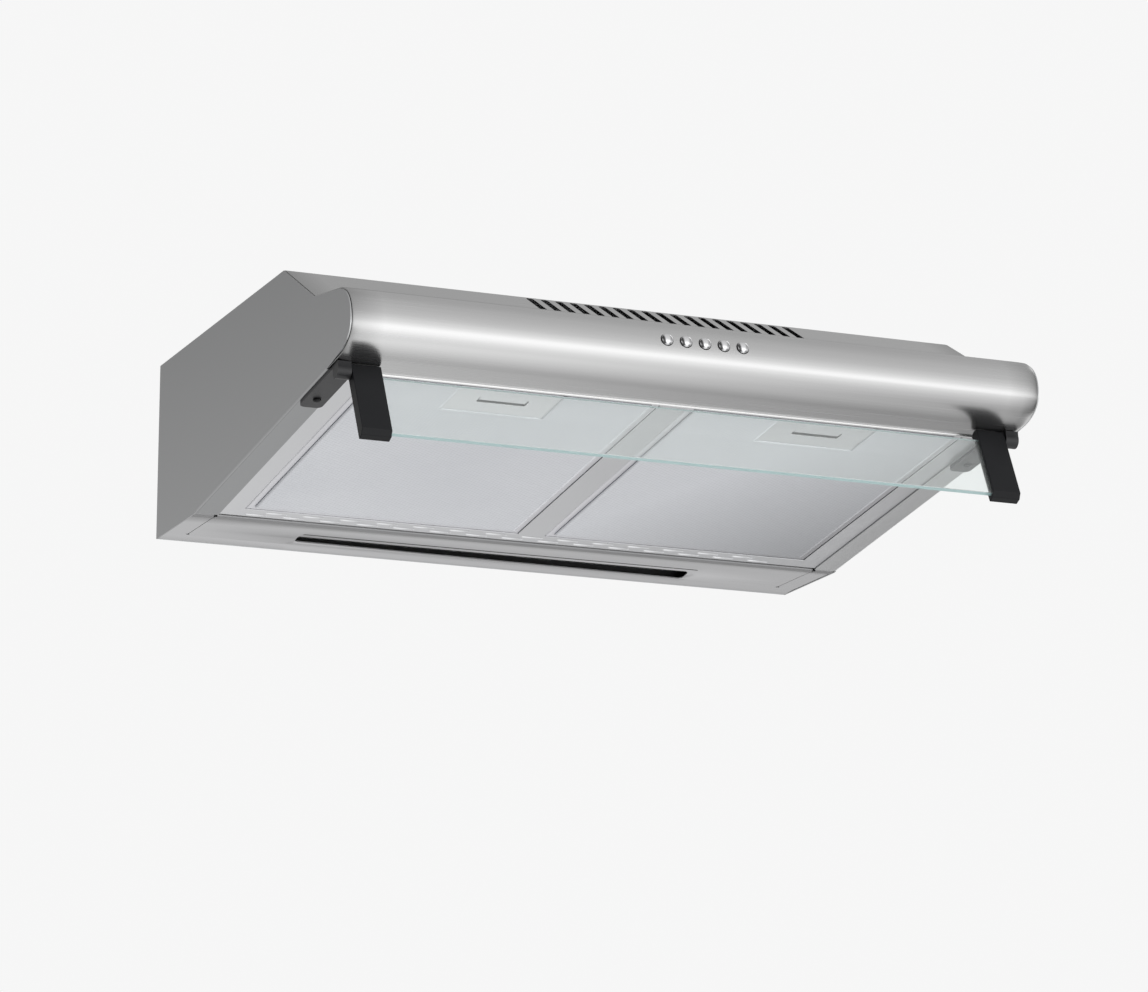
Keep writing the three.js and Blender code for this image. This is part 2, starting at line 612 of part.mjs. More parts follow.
function switchBlock() {
  const { halfWidth, halfHeight, front, rear, earEnd, earHalf, holeEnd } = SWITCH;
  const body = block([-halfWidth, halfWidth], [-halfHeight, halfHeight], [rear, front]);
  const earZ = [rear, -SHEET - 2 * GAP];
  const ears = [-1, 1].map((side) =>
    block([side * (halfWidth - 2), side * earEnd], [-earHalf, earHalf], earZ),
  );
  const holes = BUTTON_NAMES.map((_, i) => rodZ(buttonX(i), 0, STEM_RADIUS + GAP, [holeEnd, SLOT_MARGIN]));
  return cut(join(body, ...ears), ...holes);
}

place("switch_block", switchBlock(), greyPlastic, controls);

// ---------------------------------------------------------------- blower
// The scroll outline from its tongue, one turn round the fan, moved out by an offset.
function scrollOutline(offset) {
  const [inner, outer] = SCROLL_RADII;
  const turn = 360 - SCROLL_START;
  return Array.from({ length: turn / SCROLL_STEP + 1 }, (_, i) => {
    const angle = THREE.MathUtils.degToRad(SCROLL_START + i * SCROLL_STEP);
    const radius = offset + inner + ((outer - inner) * i * SCROLL_STEP) / turn;
    return [FAN_AXIS[0] + radius * Math.cos(angle), FAN_AXIS[1] + radius * Math.sin(angle)];
  });
}

function scrollCheek(span, holeRadius) {
  const outline = [...scrollOutline(SCROLL_WALL / 2), [OUTLET_Y[1], OUTLET_TOP], [OUTLET_Y[0], OUTLET_TOP]];
  const hole = rodX(...FAN_AXIS, holeRadius, [span[0] - SLOT_MARGIN, span[1] + SLOT_MARGIN], 36);
  return cut(prismX(outline, span), hole);
}

function scrollHousing() {
  const span = [SCROLL_X[0] + SHEET + GAP, SCROLL_X[1]];
  const wrapPath = [...scrollOutline(0), [OUTLET_Y[1], OUTLET_TOP]];
  const wrap = prismX(band(wrapPath.reverse(), SCROLL_WALL), span);
  const [tongue] = scrollOutline(-WELD_LAP);
  const outletFront = prismX(band([[OUTLET_Y[0], OUTLET_TOP], tongue], -SCROLL_WALL), span);
  const cheek = scrollCheek([SCROLL_X[1] - SCROLL_WALL, SCROLL_X[1]], MOTOR_OPENING);
  return join(wrap, outletFront, cheek);
}

// A drum of blades between a hub plate and an open ring.
function fanWheel() {
  const [x0, x1] = FAN_X;
  const { radius, length, plate, inset } = FAN_HUB;
  const hubPlate = rodX(...FAN_AXIS, FAN_RADIUS, [x1 - inset - plate, x1 - inset], 36);
  const boss = rodX(...FAN_AXIS, radius, [x1 - length, x1]);
  const ring = cut(
    rodX(...FAN_AXIS, FAN_RADIUS, [x0, x0 + FAN_RING.thickness], 36),
    rodX(...FAN_AXIS, FAN_RADIUS - FAN_RING.width, [x0 - 1, x0 + FAN_RING.thickness + 1], 36),
  );
  const bladeX = [x0 + 1.5, x1 - inset - plate + 0.5];
  const blades = Array.from({ length: FAN_BLADE.count }, (_, i) => {
    const blade = new THREE.BoxGeometry(bladeX[1] - bladeX[0], FAN_BLADE.chord, FAN_BLADE.thickness);
    blade.rotateX(THREE.MathUtils.degToRad(FAN_BLADE.pitch));
    blade.translate((bladeX[0] + bladeX[1]) / 2, FAN_RADIUS - FAN_BLADE.inset, 0);
    blade.rotateX((i * 2 * Math.PI) / FAN_BLADE.count).translate(0, ...FAN_AXIS);
    return solid(blade);
  });
  const shaftBore = rodX(...FAN_AXIS, SHAFT.radius + GAP, [0, x1 + 1]);
  return cut(join(hubPlate, boss, ring, ...blades), shaftBore);
}

// A steel can with stepped ends on the fan axis.
function motor() {
  const { x0, x1, radius, endRadius, step, bearing } = MOTOR;
  const bodies = [
    rodX(...FAN_AXIS, bearing, [x0 - step, x1 + step]),
    rodX(...FAN_AXIS, endRadius, [x0, x1], 32),
    rodX(...FAN_AXIS, radius, [x0 + step, x1 - step], 32),
  ];
  const lugs = MOTOR_LUG.places.map((degrees) => {
    const angle = THREE.MathUtils.degToRad(degrees);
    const y = FAN_AXIS[0] + MOTOR_LUG.circle * Math.cos(angle);
    const z = FAN_AXIS[1] + MOTOR_LUG.circle * Math.sin(angle);
    return rodX(y, z, MOTOR_LUG.radius, [x0, x1 + 1], 12);
  });
  const shaftBore = rodX(...FAN_AXIS, SHAFT.radius + GAP, [x0 - step - 1, x1 + step + 1]);
  return cut(join(...bodies, ...lugs), shaftBore);
}

// A spider that carries the motor in the housing's right-hand opening.
function motorBracket() {
  const span = [SCROLL_X[1] + GAP, MOTOR.x0 - GAP];
  const past = [span[0] - SLOT_MARGIN, span[1] + SLOT_MARGIN];
  const [rimInner, rimOuter] = BRACKET.rim;
  const [spokeStart, spokeEnd] = BRACKET.spoke;
  const rim = cut(rodX(...FAN_AXIS, rimOuter, span, 36), rodX(...FAN_AXIS, rimInner, past, 36));
  const hub = rodX(...FAN_AXIS, BRACKET.hub, span, 32);
  const spokes = BRACKET.places.map((degrees) => {
    const spoke = new THREE.BoxGeometry(span[1] - span[0], spokeEnd - spokeStart, BRACKET.spokeWidth);
    spoke.translate((span[0] + span[1]) / 2, (spokeStart + spokeEnd) / 2, 0);
    return solid(spoke.rotateX(THREE.MathUtils.degToRad(degrees)).translate(0, ...FAN_AXIS));
  });
  return cut(join(rim, hub, ...spokes), rodX(...FAN_AXIS, MOTOR.bearing + GAP, past));
}

place("scroll_housing", scrollHousing(), zinc);
place("scroll_cover", scrollCheek([SCROLL_X[0], SCROLL_X[0] + SHEET], INLET_RADIUS), zinc);
place("fan_wheel", fanWheel(), greyPlastic);
place("motor_shaft", rodX(...FAN_AXIS, SHAFT.radius, [SHAFT.x0, SHAFT.x1]), zinc);
place("motor", motor(), castMetal);
place("motor_bracket", motorBracket(), zinc);

// ---------------------------------------------------------------- duct collar and back-draught flaps
const EAR_Y = COLLAR.inner - PIN_EAR.depth;

function ductCollar() {
  const base = HEIGHT + GAP;
  const { inner, wall, flange, top } = COLLAR;
  const { inner: ledge, top: ledgeTop, thickness } = COLLAR_LEDGE;
  const profile = [
    [ledge, ledgeTop - thickness],
    [inner, ledgeTop - thickness],
    [inner, base],
    [flange, base],
    [flange, base + COLLAR_FLANGE],
    [inner + wall, base + COLLAR_FLANGE],
    [inner + wall, top],
    [inner, top],
    [inner, ledgeTop],
    [ledge, ledgeTop],
    [ledge, ledgeTop - thickness],
  ];
  const ring = turned(profile, 48);
  const earX = [-PIN_EAR.half, PIN_EAR.half];
  const earZ = [ledgeTop - 1, FLAP_PIN.z + PIN_EAR.rise];
  const ears = [-1, 1].map((side) => block(earX, [side * EAR_Y, side * (inner + 1)], earZ));
  const screwHoles = collarScrewHoles([base - 1, base + 3]).map((hole) => hole.translate([0, -COLLAR.y, 0]));
  const pinBore = rodY(0, FLAP_PIN.z, FLAP_PIN.radius + GAP, [-FLAP_PIN.boreHalf, FLAP_PIN.boreHalf]);
  return cut(join(ring, ...ears), pinBore, ...screwHoles);
}

// Half a disc that turns on the pin, cut back where the other flap's barrels are.
function backdraughtFlap(name, sign) {
  const z = [FLAP_PIN.z - FLAP.thickness / 2, FLAP_PIN.z + FLAP.thickness / 2];
  const past = [z[0] - 1, z[1] + 1];
  const far = FLAP.radius + SLOT_MARGIN;
  const disc = rodZ(0, 0, FLAP.radius, z, 48);
  const otherHalf = block([-sign * far, sign * FLAP.axisGap], [-far, far], past);
  const earRooms = [-1, 1].map((side) =>
    block([-FLAP.earRoom, FLAP.earRoom], [side * (EAR_Y - BARREL.clearance), side * far], past),
  );
  const other = BARREL[name === "left" ? "right" : "left"];
  const own = BARREL[name];
  const half = BARREL.length / 2;
  const room = half + BARREL.clearance;
  const notches = [-1, 1].map((side) =>
    block([0, sign * BARREL.room], [side * other - room, side * other + room], past),
  );
  const barrels = [-1, 1].map((side) =>
    rodY(0, FLAP_PIN.z, BARREL.radius, [side * own - half, side * own + half], 20),
  );
  const leaf = cut(disc, otherHalf, ...earRooms, ...notches);
  return cut(join(leaf, ...barrels), rodY(0, FLAP_PIN.z, FLAP_PIN.radius + GAP, [-far, far]));
}

const outlet = new THREE.Group();
outlet.position.y = COLLAR.y;
hood.add(outlet);
place("duct_collar", ductCollar(), blackPlastic, outlet);
COLLAR_SCREWS.forEach(([x, y], i) => {
  const stand = new THREE.Group();
  stand.position.set(x, y, HEIGHT + COLLAR_FLANGE + 2 * GAP);
  hood.add(stand);
  place("collar_screw_" + (i + 1), screw(COLLAR_SCREW), zinc, stand);
});
place("flap_pin", rodY(0, FLAP_PIN.z, FLAP_PIN.radius, [-FLAP_PIN.half, FLAP_PIN.half], 16), zinc, outlet);
for (const { name, sign } of SIDES) place("flap_" + name, backdraughtFlap(name, sign), greyPlastic, outlet);

// ---------------------------------------------------------------- lamp behind the rear slot
function lampTray() {
  const { halfLength, y0, y1, top, wall } = LAMP_TRAY;
  const shell = block([-halfLength, halfLength], [y0, y1], [SHEET + GAP, top]);
  const hollow = block([wall - halfLength, halfLength - wall], [y0 + wall, y1 - wall], [0, top - wall]);
  return cut(shell, hollow);
}

place("lamp_tray", lampTray(), blackPlastic);
place("lamp_tube", rodX(LAMP_Y, LAMP_Z, LAMP_RADIUS, [-LAMP_HALF_LENGTH, LAMP_HALF_LENGTH]), lampGlass);
for (const { name, sign } of SIDES) {
  const inner = LAMP_HALF_LENGTH + GAP;
  const foot = LAMP_TRAY.top - LAMP_TRAY.wall - GAP;
  const socketX = [sign * inner, sign * (inner + SOCKET.length)];
  const socket = block(socketX, [LAMP_Y - SOCKET.half, LAMP_Y + SOCKET.half], [LAMP_Z - SOCKET.half, foot]);
  place("lamp_socket_" + name, socket, whitePlastic);
}
const coverHalf = LAMP_TRAY.halfLength - LAMP_TRAY.wall - GAP;
const coverY = [LAMP_TRAY.y0 + LAMP_TRAY.wall + GAP, LAMP_TRAY.y1 - LAMP_TRAY.wall - GAP];
place("lamp_cover", block([-coverHalf, coverHalf], coverY, LAMP_COVER_Z), clearGlass);

// ---------------------------------------------------------------- electrics
const BACK_FACE = -SHEET - GAP; // nearest that a piece comes to the back panel

function terminalBox() {
  const { x, y0, z, wall } = TERMINAL_BOX;
  const shell = block(x, [y0, BACK_FACE], z);
  const inside = ([low, high]) => [low + wall, high - wall];
  const hollow = block(inside(x), [y0 - SLOT_MARGIN, BACK_FACE - wall], inside(z));
  return cut(shell, hollow);
}

// A hoop round the capacitor, on a foot against the back panel.
function capacitorClip() {
  const { x, wall, footHalf, footDepth } = CLIP;
  const { y, z, radius } = CAPACITOR;
  const seat = rodX(y, z, radius + 2 * GAP, [x[0] - SLOT_MARGIN, x[1] + SLOT_MARGIN], 32);
  const hoop = rodX(y, z, radius + 2 * GAP + wall, x, 32);
  const foot = block(x, [-footDepth, BACK_FACE], [z - footHalf, z + footHalf]);
  return cut(join(hoop, foot), seat);
}

function cableGland() {
  const { x, y, bore, body, neck, flange } = GLAND;
  const { below, above } = GLAND_HEIGHTS;
  const top = HEIGHT + GAP;
  const flangeTop = top + GLAND_HEIGHTS.flange;
  const stack = join(
    rodZ(x, y, flange, [top, flangeTop], 6),
    rodZ(x, y, body, [HEIGHT - below, flangeTop - 1]),
    rodZ(x, y, neck, [flangeTop - 1, top + above]),
  );
  return cut(stack, rodZ(x, y, bore, [HEIGHT - below - 1, top + above + 1]));
}

function glandNut() {
  const { x, y, body, flange } = GLAND;
  const top = HEIGHT - SHEET - GAP;
  const bottom = top - GLAND_HEIGHTS.nut;
  const ring = rodZ(x, y, flange, [bottom, top], 6);
  return cut(ring, rodZ(x, y, body + GAP, [bottom - 1, top + 1]));
}

const { x: boxX, y0: boxFront, z: boxZ, cover } = TERMINAL_BOX;
place("terminal_box", terminalBox(), greyPlastic);
place("terminal_cover", block(boxX, [boxFront - cover, boxFront - GAP], boxZ), greyPlastic);
place("run_capacitor", rodX(CAPACITOR.y, CAPACITOR.z, CAPACITOR.radius, CAPACITOR.x, 32), whitePlastic);
place("capacitor_clip", capacitorClip(), zinc);
place("cable_gland", cableGland(), blackPlastic);
place("gland_nut", glandNut(), blackPlastic);

export default range_hood;
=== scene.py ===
"""Looks of the under-cabinet range hood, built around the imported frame.

Lengths are in millimetres until a piece is placed.
"""
import math

import bmesh
import bpy
from mathutils import Matrix, Vector


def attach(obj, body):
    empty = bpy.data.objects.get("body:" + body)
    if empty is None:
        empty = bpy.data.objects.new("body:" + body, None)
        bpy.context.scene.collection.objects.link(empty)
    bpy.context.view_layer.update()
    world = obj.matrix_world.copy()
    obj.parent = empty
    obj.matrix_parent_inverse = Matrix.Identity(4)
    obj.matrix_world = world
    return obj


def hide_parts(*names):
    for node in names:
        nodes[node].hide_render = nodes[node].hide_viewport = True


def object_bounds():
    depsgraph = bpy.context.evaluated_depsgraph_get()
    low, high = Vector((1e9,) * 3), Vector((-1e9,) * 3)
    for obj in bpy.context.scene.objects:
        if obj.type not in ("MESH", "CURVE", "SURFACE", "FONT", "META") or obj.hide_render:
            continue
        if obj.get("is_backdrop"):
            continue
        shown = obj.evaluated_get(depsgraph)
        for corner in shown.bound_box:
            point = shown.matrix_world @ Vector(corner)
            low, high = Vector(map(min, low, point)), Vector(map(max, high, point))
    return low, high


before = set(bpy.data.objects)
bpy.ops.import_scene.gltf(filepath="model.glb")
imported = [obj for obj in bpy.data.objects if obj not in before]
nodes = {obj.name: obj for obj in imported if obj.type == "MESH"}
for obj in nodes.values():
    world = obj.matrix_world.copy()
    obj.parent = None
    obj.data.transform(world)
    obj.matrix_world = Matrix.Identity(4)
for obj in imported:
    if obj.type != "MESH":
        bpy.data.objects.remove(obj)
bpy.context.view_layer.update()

# ---- dimensions, as in the CAD source
WIDTH, HEIGHT, SHEET, GAP = 600.0, 155.0, 1.0, 0.3
TOP_DEPTH, TOP_LAP, STRIP_DEPTH, FLANGE = 333.0, 19.0, 105.0, 21.0
VALLEY, CREST, NOSE, CHIN = (-409.0, 114.0), (-470.0, 105.5), (-498.5, 73.0), (-468.0, 49.5)
CREST_PULL, NOSE_UP, NOSE_DOWN, CHIN_PULL = (17.0, 2.4), 18.0, 13.0, 15.0
LIP_Y, LIP_RADIUS = -443.0, 1.4
SLOPE = math.atan2(CHIN[1], -STRIP_DEPTH - CHIN[0])
LIP = (LIP_Y, (-LIP_Y - STRIP_DEPTH) * math.tan(SLOPE))
INNER_X = WIDTH / 2 - SHEET - GAP
END_ROUND, END_LENGTH = 1.3, 13.0  # how the nose sheet rounds in towards its two ends
END_STEPS, END_BLEND = 8, 10.0  # steps of that rounding, and path points over which it sets in
CURVE_TRIM = 0.06  # the smooth nose runs this far inside the CAD facets
SIDE_INSET = 0.35  # the side plates' edges lie this far inside the fascia's face
FOLD_LIFT, FOLD_REAR, FOLD_GAP = 3.0, (-4.0, -3.5), 0.2  # where a side plate ends above its folded flange

VENT_COUNT, VENT_PITCH, VENT_CENTRE = 19, 12.9, 29.0
VENT_WIDTH, VENT_LENGTH, VENT_START, VENT_CORNER = 6.4, 68.0, 2.5, 3.0
BUTTONS = ["button_off", "button_speed_1", "button_speed_2", "button_speed_3", "button_lamp"]
BUTTON_PITCH, BUTTON_RADIUS, BUTTON_PLACE, BUTTON_PROUD = 16.5, 5.0, 0.775, 3.6
BUTTON_PLAY, BUTTON_EDGE = 0.5, 0.7  # the hole's clearance, and the straight edge below the dome
STEM_RADIUS, STEM_END, CAP_END = 2.5, -14.0, -6.0

WINDOW_X, WINDOW_Y = (12.0, 261.0), (-339.0, -20.0)
CARRIER_X, CARRIER_Y, CARRIER_Z = 286.0, (-352.0, -3.5), (1.3, 2.3)
LIP_IN = 0.25  # how far the carrier's drawn edge narrows the play round a filter
RIB_ROWS = ((-8.0, -247.0, 15), (-14.5, -231.0, 14))  # Y, first X and count of each row of drain ribs
RIB_PITCH, RIB_ROOT = 33.4, 1.32
RIB_SECTION = ((-1.5, RIB_ROOT), (-0.9, 0.75), (0.0, 0.5), (0.9, 0.75), (1.5, RIB_ROOT))
RIB_ENDS = ((-10.0, 0.0), (-8.6, 1.0), (8.6, 1.0), (10.0, 0.0))  # X and share of the full height
FILTER_PLAY, FILTER_Z, FILTER_RIM, MESH_BOTTOM = 0.6, (1.6, 8.8), 6.5, 2.0
TAB_X, TAB_HALF, TAB_LENGTH, TAB_Z = (70, 208), 12, 9, (2.7, 3.9)
NET_COLUMNS, NET_ROWS, NET_LIFT, NET_WAVE, NET_PHASE = 96, 128, 0.3, 0.16, (1.26, 1.9)
LATCH_X, LATCH_HALF, LATCH_Y, LATCH_Z = 139.0, 45.0, (-331.4, -278.0), (1.0, 2.0)
NOTCH_HALF, NOTCH_Z, RAIL_Z = 14.3, (3.1, 5.7), (1.2, 6.4)
FINGER_HALF, FINGER_Y = 21.0, (-312.0, -300.0)

HINGE_AXIS, VISOR_TILT = (-457.5, 41.3), 26.0
ARM_X, ARM_THICK, ARM_LENGTH, ARM_BEVEL = (261.0, 286.0), 10.0, 63.5, 4.0
GLASS_THICK, GLASS_Z, GLASS_BITE = 4.0, (-60.0, -4.0), 8.0
HINGE_X, HINGE_REAR, HINGE_THICK, HINGE_CORNER = (279.3, 298.0), -267.0, 3.0, 5.0
KNUCKLE, FOOT_START, PIN_BORE, BORE_RADIUS = 6.4, 16.0, (270.0, 294.0), 2.8
ARM_BORE, FOOT_SCREW_Y, FOOT_SCREW_RADIUS = 12, -285.0, 2.0

SLOT_HALF, SLOT_REAR = 185.0, -25.0
RAMP_Y, RAMP_RISE = (-86.0, -44.0), 2.8  # the sheet dips in towards the slot
STEP_Y, STEP_RISE, STEP_SPAN = -98.0, 0.6, (-102, -10)  # and lies a little higher between its folded edges
GROOVE_HALF, GROOVE_RISE = 2.4, 0.7  # behind the slot
TAPER_Y = -31.0  # the slot's rear edge at its left end
SEAM_HALF, SEAM_REAR, RELIEF_RADIUS = 0.3, -27.0, 1.7
FOLD_END = -0.0955  # the strip's folded front edge, in metres
COLLAR_Y, COLLAR_INNER, COLLAR_WALL, COLLAR_FLANGE, COLLAR_TOP = -162.0, 57.5, 2.0, 70.0, 180.0
COLLAR_LEDGE, COLLAR_LEDGE_Z = 54.5, (159.5, 161.0)
COLLAR_SCREWS, COLLAR_SCREW_RADIUS, FLAP_PIN_RADIUS, FLAP_PIN_Z = 64.6, 1.8, 1.8, 163.2

# ---- frames of reference
HOOD = Matrix.Scale(0.001, 4) @ Matrix.Translation((0, 0, -HEIGHT / 2))
UNDER = HOOD @ Matrix.Translation((0, -STRIP_DEPTH, 0)) @ Matrix.Rotation(-SLOPE, 4, "X")
VISOR = HOOD @ Matrix.Translation((0, *HINGE_AXIS)) @ Matrix.Rotation(math.radians(-VISOR_TILT), 4, "X")
OUTLET = HOOD @ Matrix.Translation((0, COLLAR_Y, 0))


def in_underside(y, z):
    """A point of the hood, from the underside group's own Y and Z."""
    along = y * math.cos(SLOPE) + z * math.sin(SLOPE)
    return along - STRIP_DEPTH, z * math.cos(SLOPE) - y * math.sin(SLOPE)


def to_underside(y, z):
    """The underside group's Y and Z of a point of the hood."""
    forward = y + STRIP_DEPTH
    along = forward * math.cos(SLOPE) - z * math.sin(SLOPE)
    return along, forward * math.sin(SLOPE) + z * math.cos(SLOPE)


def bezier(a, b, c, d, steps):
    points = []
    for i in range(steps + 1):
        t = i / steps
        weights = ((1 - t) ** 3, 3 * t * (1 - t) ** 2, 3 * t * t * (1 - t), t**3)
        points.append(tuple(sum(w * p[k] for w, p in zip(weights, (a, b, c, d))) for k in (0, 1)))
    return points


UPPER = (CREST, (CREST[0] - CREST_PULL[0], CREST[1] - CREST_PULL[1]), (NOSE[0], NOSE[1] + NOSE_UP), NOSE)
LOWER = (NOSE, (NOSE[0], NOSE[1] - NOSE_DOWN),
         (CHIN[0] - CHIN_PULL, CHIN[1] + CHIN_PULL * math.tan(SLOPE)), CHIN)


def button_frame():
    """Where the buttons stand: their +Z points out of the nose."""
    t = BUTTON_PLACE
    a, b, c, d = (Vector(p) for p in UPPER)
    seat = a * (1 - t) ** 3 + b * 3 * t * (1 - t) ** 2 + c * 3 * t * t * (1 - t) + d * t**3
    tangent = (b - a) * (1 - t) ** 2 + (c - b) * 2 * t * (1 - t) + (d - c) * t * t
    turn = math.atan2(-tangent.y, -tangent.x)
    return HOOD @ Matrix.Translation((0, seat.x, seat.y)) @ Matrix.Rotation(turn, 4, "X")


CONTROLS = button_frame()

# ---- mesh code


def fillet(path, radii, steps=6):
    """An open path of points with its inner corners rounded."""
    made = [path[0]]
    for i in range(1, len(path) - 1):
        before, corner, after = Vector(path[i - 1]), Vector(path[i]), Vector(path[i + 1])
        radius = radii[i - 1]
        u, v = (before - corner).normalized(), (after - corner).normalized()
        half = u.angle(v) / 2
        if radius <= 0 or half > math.radians(89.5):
            made.append(tuple(corner))
            continue
        centre = corner + (u + v).normalized() * (radius / math.sin(half))
        start = corner + u * (radius / math.tan(half)) - centre
        end = corner + v * (radius / math.tan(half)) - centre
        sweep = start.angle_signed(end)
        for k in range(steps + 1):
            turn = Matrix.Rotation(-sweep * k / steps, 2)
            made.append(tuple(centre + turn @ start))
    made.append(path[-1])
    return made


def side_normals(path):
    """Unit-offset directions to the left of an open path, one for each point."""
    made = []
    for i, point in enumerate(path):
        a = Vector(path[max(i - 1, 0)])
        b = Vector(path[min(i + 1, len(path) - 1)])
        before = (Vector(point) - a).normalized() if i > 0 else (b - Vector(point)).normalized()
        after = (b - Vector(point)).normalized() if i < len(path) - 1 else before
        n1, n2 = Vector((-before.y, before.x)), Vector((-after.y, after.x))
        made.append((n1 + n2) / (1 + n1.dot(n2)))
    return made


def new_object(name, bm, placement):
    bmesh.ops.remove_doubles(bm, verts=bm.verts, dist=1e-4)
    bmesh.ops.recalc_face_normals(bm, faces=bm.faces)
    bm.transform(placement)
    mesh = bpy.data.meshes.new(name)
    bm.to_mesh(mesh)
    bm.free()
    obj = bpy.data.objects.new(name, mesh)
    bpy.context.scene.collection.objects.link(obj)
    return obj


def join_rings(bm, low, high):
    count = len(low)
    for i in range(count):
        j = (i + 1) % count
        bm.faces.new((low[i], low[j], high[j], high[i]))


def add_sheet(bm, rings):
    """Rings round a sheet, each along its outer face and back along its inner one, joined and closed."""
    for low, high in zip(rings, rings[1:]):
        join_rings(bm, low, high)
    count = len(rings[0])
    for ring in (rings[0], rings[-1]):
        for i in range(count // 2 - 1):
            bm.faces.new((ring[i], ring[i + 1], ring[count - 2 - i], ring[count - 1 - i]))


def add_prism(bm, outline, span, axis):
    """A closed outline extruded along X (outline in Y, Z) or along Z (outline in X, Y)."""
    rings = []
    for level in span:
        points = [(level, a, b) if axis == "X" else (a, b, level) for a, b in outline]
        rings.append([bm.verts.new(p) for p in points])
    join_rings(bm, *rings)
    bm.faces.new(rings[0])
    bm.faces.new(list(reversed(rings[1])))


def add_box(bm, x, y, z):
    add_prism(bm, [(x[0], y[0]), (x[1], y[0]), (x[1], y[1]), (x[0], y[1])], z, "Z")


def circle(a, b, radius, sides):
    turn = 2 * math.pi / sides
    return [(a + radius * math.cos(i * turn), b + radius * math.sin(i * turn)) for i in range(sides)]


def add_rod(bm, y, z, radius, span, sides):
    add_prism(bm, circle(y, z, radius, sides), span, "X")


def add_turned(bm, profile, sides, axis_at=(0.0, 0.0)):
    """A closed ring of profile points, or one that starts and ends on the axis, turned round Z."""
    rings = []
    for radius, height in profile:
        if radius < 1e-6:
            rings.append([bm.verts.new((*axis_at, height))])
        else:
            rings.append([bm.verts.new((*spot, height)) for spot in circle(*axis_at, radius, sides)])
    pairs = list(zip(rings, rings[1:]))
    if len(rings[0]) > 1:
        pairs.append((rings[-1], rings[0]))
    for low, high in pairs:
        for i in range(sides):
            j = (i + 1) % sides
            corners = [low[i % len(low)], low[j % len(low)], high[j % len(high)], high[i % len(high)]]
            unique = [v for k, v in enumerate(corners) if v not in corners[:k]]
            if len(unique) > 2:
                bm.faces.new(unique)


def build(name, placement, add, *shape):
    """An object of one shape: one of the add functions, and what it takes."""
    bm = bmesh.new()
    add(bm, *shape)
    return new_object(name, bm, placement)


def mirrored(sign, near, far):
    """A span along X on one side of the middle, its lower end first."""
    return tuple(sorted((sign * near, sign * far)))


def rounded_rect(x, y, radius, steps):
    made = []
    corners = ((x[1], y[1], 0), (x[0], y[1], 90), (x[0], y[0], 180), (x[1], y[0], 270))
    for cx, cy, start in corners:
        ox = cx - radius if cx == x[1] else cx + radius
        oy = cy - radius if cy == y[1] else cy + radius
        for k in range(steps + 1):
            a = math.radians(start + 90 * k / steps)
            made.append((ox + radius * math.cos(a), oy + radius * math.sin(a)))
    return made


def boolean(obj, tools, operation="DIFFERENCE"):
    """Cuts or joins other objects into obj for good, and removes them."""
    for tool in tools:
        modifier = obj.modifiers.new("cut", "BOOLEAN")
        modifier.operation, modifier.solver, modifier.object = operation, "EXACT", tool
    evaluated = obj.evaluated_get(bpy.context.evaluated_depsgraph_get())
    mesh = bpy.data.meshes.new_from_object(evaluated)
    obj.modifiers.clear()
    obj.data = mesh
    for tool in tools:
        bpy.data.objects.remove(tool)
    return obj


def soften(obj, width, segments=3, angle=30.0):
    """Rounded edges, and smooth shading between them."""
    if width > 0:
        bevel = obj.modifiers.new("edges", "BEVEL")
        bevel.width, bevel.segments = width * 0.001, segments
        bevel.limit_method, bevel.angle_limit = "ANGLE", math.radians(angle)
        bevel.harden_normals = True
        bevel.use_clamp_overlap = True
    obj.data.shade_smooth()
    obj.data.set_sharp_from_angle(angle=math.radians(angle))


def place(obj, body, material, stands_for=(), width=0.0, segments=3, angle=30.0):
    soften(obj, width, segments, angle)
    obj.data.materials.clear()
    obj.data.materials.append(material)
    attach(obj, body)
    if stands_for:
        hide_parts(*stands_for)
    return obj


# ---- materials


def fresh(name):
    material = bpy.data.materials.new(name)
    material.use_nodes = True
    return material, material.node_tree, material.node_tree.nodes["Principled BSDF"]


def math_node(tree, operation, *values, clamp=False):
    node = tree.nodes.new("ShaderNodeMath")
    node.operation, node.use_clamp = operation, clamp
    for socket, value in zip(node.inputs, values):
        if isinstance(value, (int, float)):
            socket.default_value = value
        else:
            tree.links.new(value, socket)
    return node.outputs[0]


def noise_of(tree, scale, detail=4.0):
    """Noise on the object's own coordinates, with this many grains a metre, or so many along each axis."""
    place_node = tree.nodes.new("ShaderNodeTexCoord")
    mapping = tree.nodes.new("ShaderNodeMapping")
    mapping.inputs["Scale"].default_value = scale if isinstance(scale, tuple) else (scale,) * 3
    texture = tree.nodes.new("ShaderNodeTexNoise")
    texture.inputs["Scale"].default_value = 1.0
    texture.inputs["Detail"].default_value = detail
    texture.inputs["Roughness"].default_value = 0.55
    tree.links.new(place_node.outputs["Object"], mapping.inputs["Vector"])
    tree.links.new(mapping.outputs["Vector"], texture.inputs["Vector"])
    return texture.outputs["Fac"]


def ranged(tree, value, low, high, start=0.3, end=0.7):
    node = tree.nodes.new("ShaderNodeMapRange")
    node.inputs["From Min"].default_value, node.inputs["From Max"].default_value = start, end
    node.inputs["To Min"].default_value, node.inputs["To Max"].default_value = low, high
    tree.links.new(value, node.inputs["Value"])
    return node.outputs["Result"]


def mixed(tree, factor, first, second):
    node = tree.nodes.new("ShaderNodeMix")
    node.data_type = "RGBA"
    tree.links.new(factor, node.inputs["Factor"])
    for socket, value in (("A", first), ("B", second)):
        target = [s for s in node.inputs if s.name == socket and s.type == "RGBA"][0]
        if isinstance(value, tuple):
            target.default_value = (*value, 1.0)
        else:
            tree.links.new(value, target)
    return [s for s in node.outputs if s.type == "RGBA"][0]


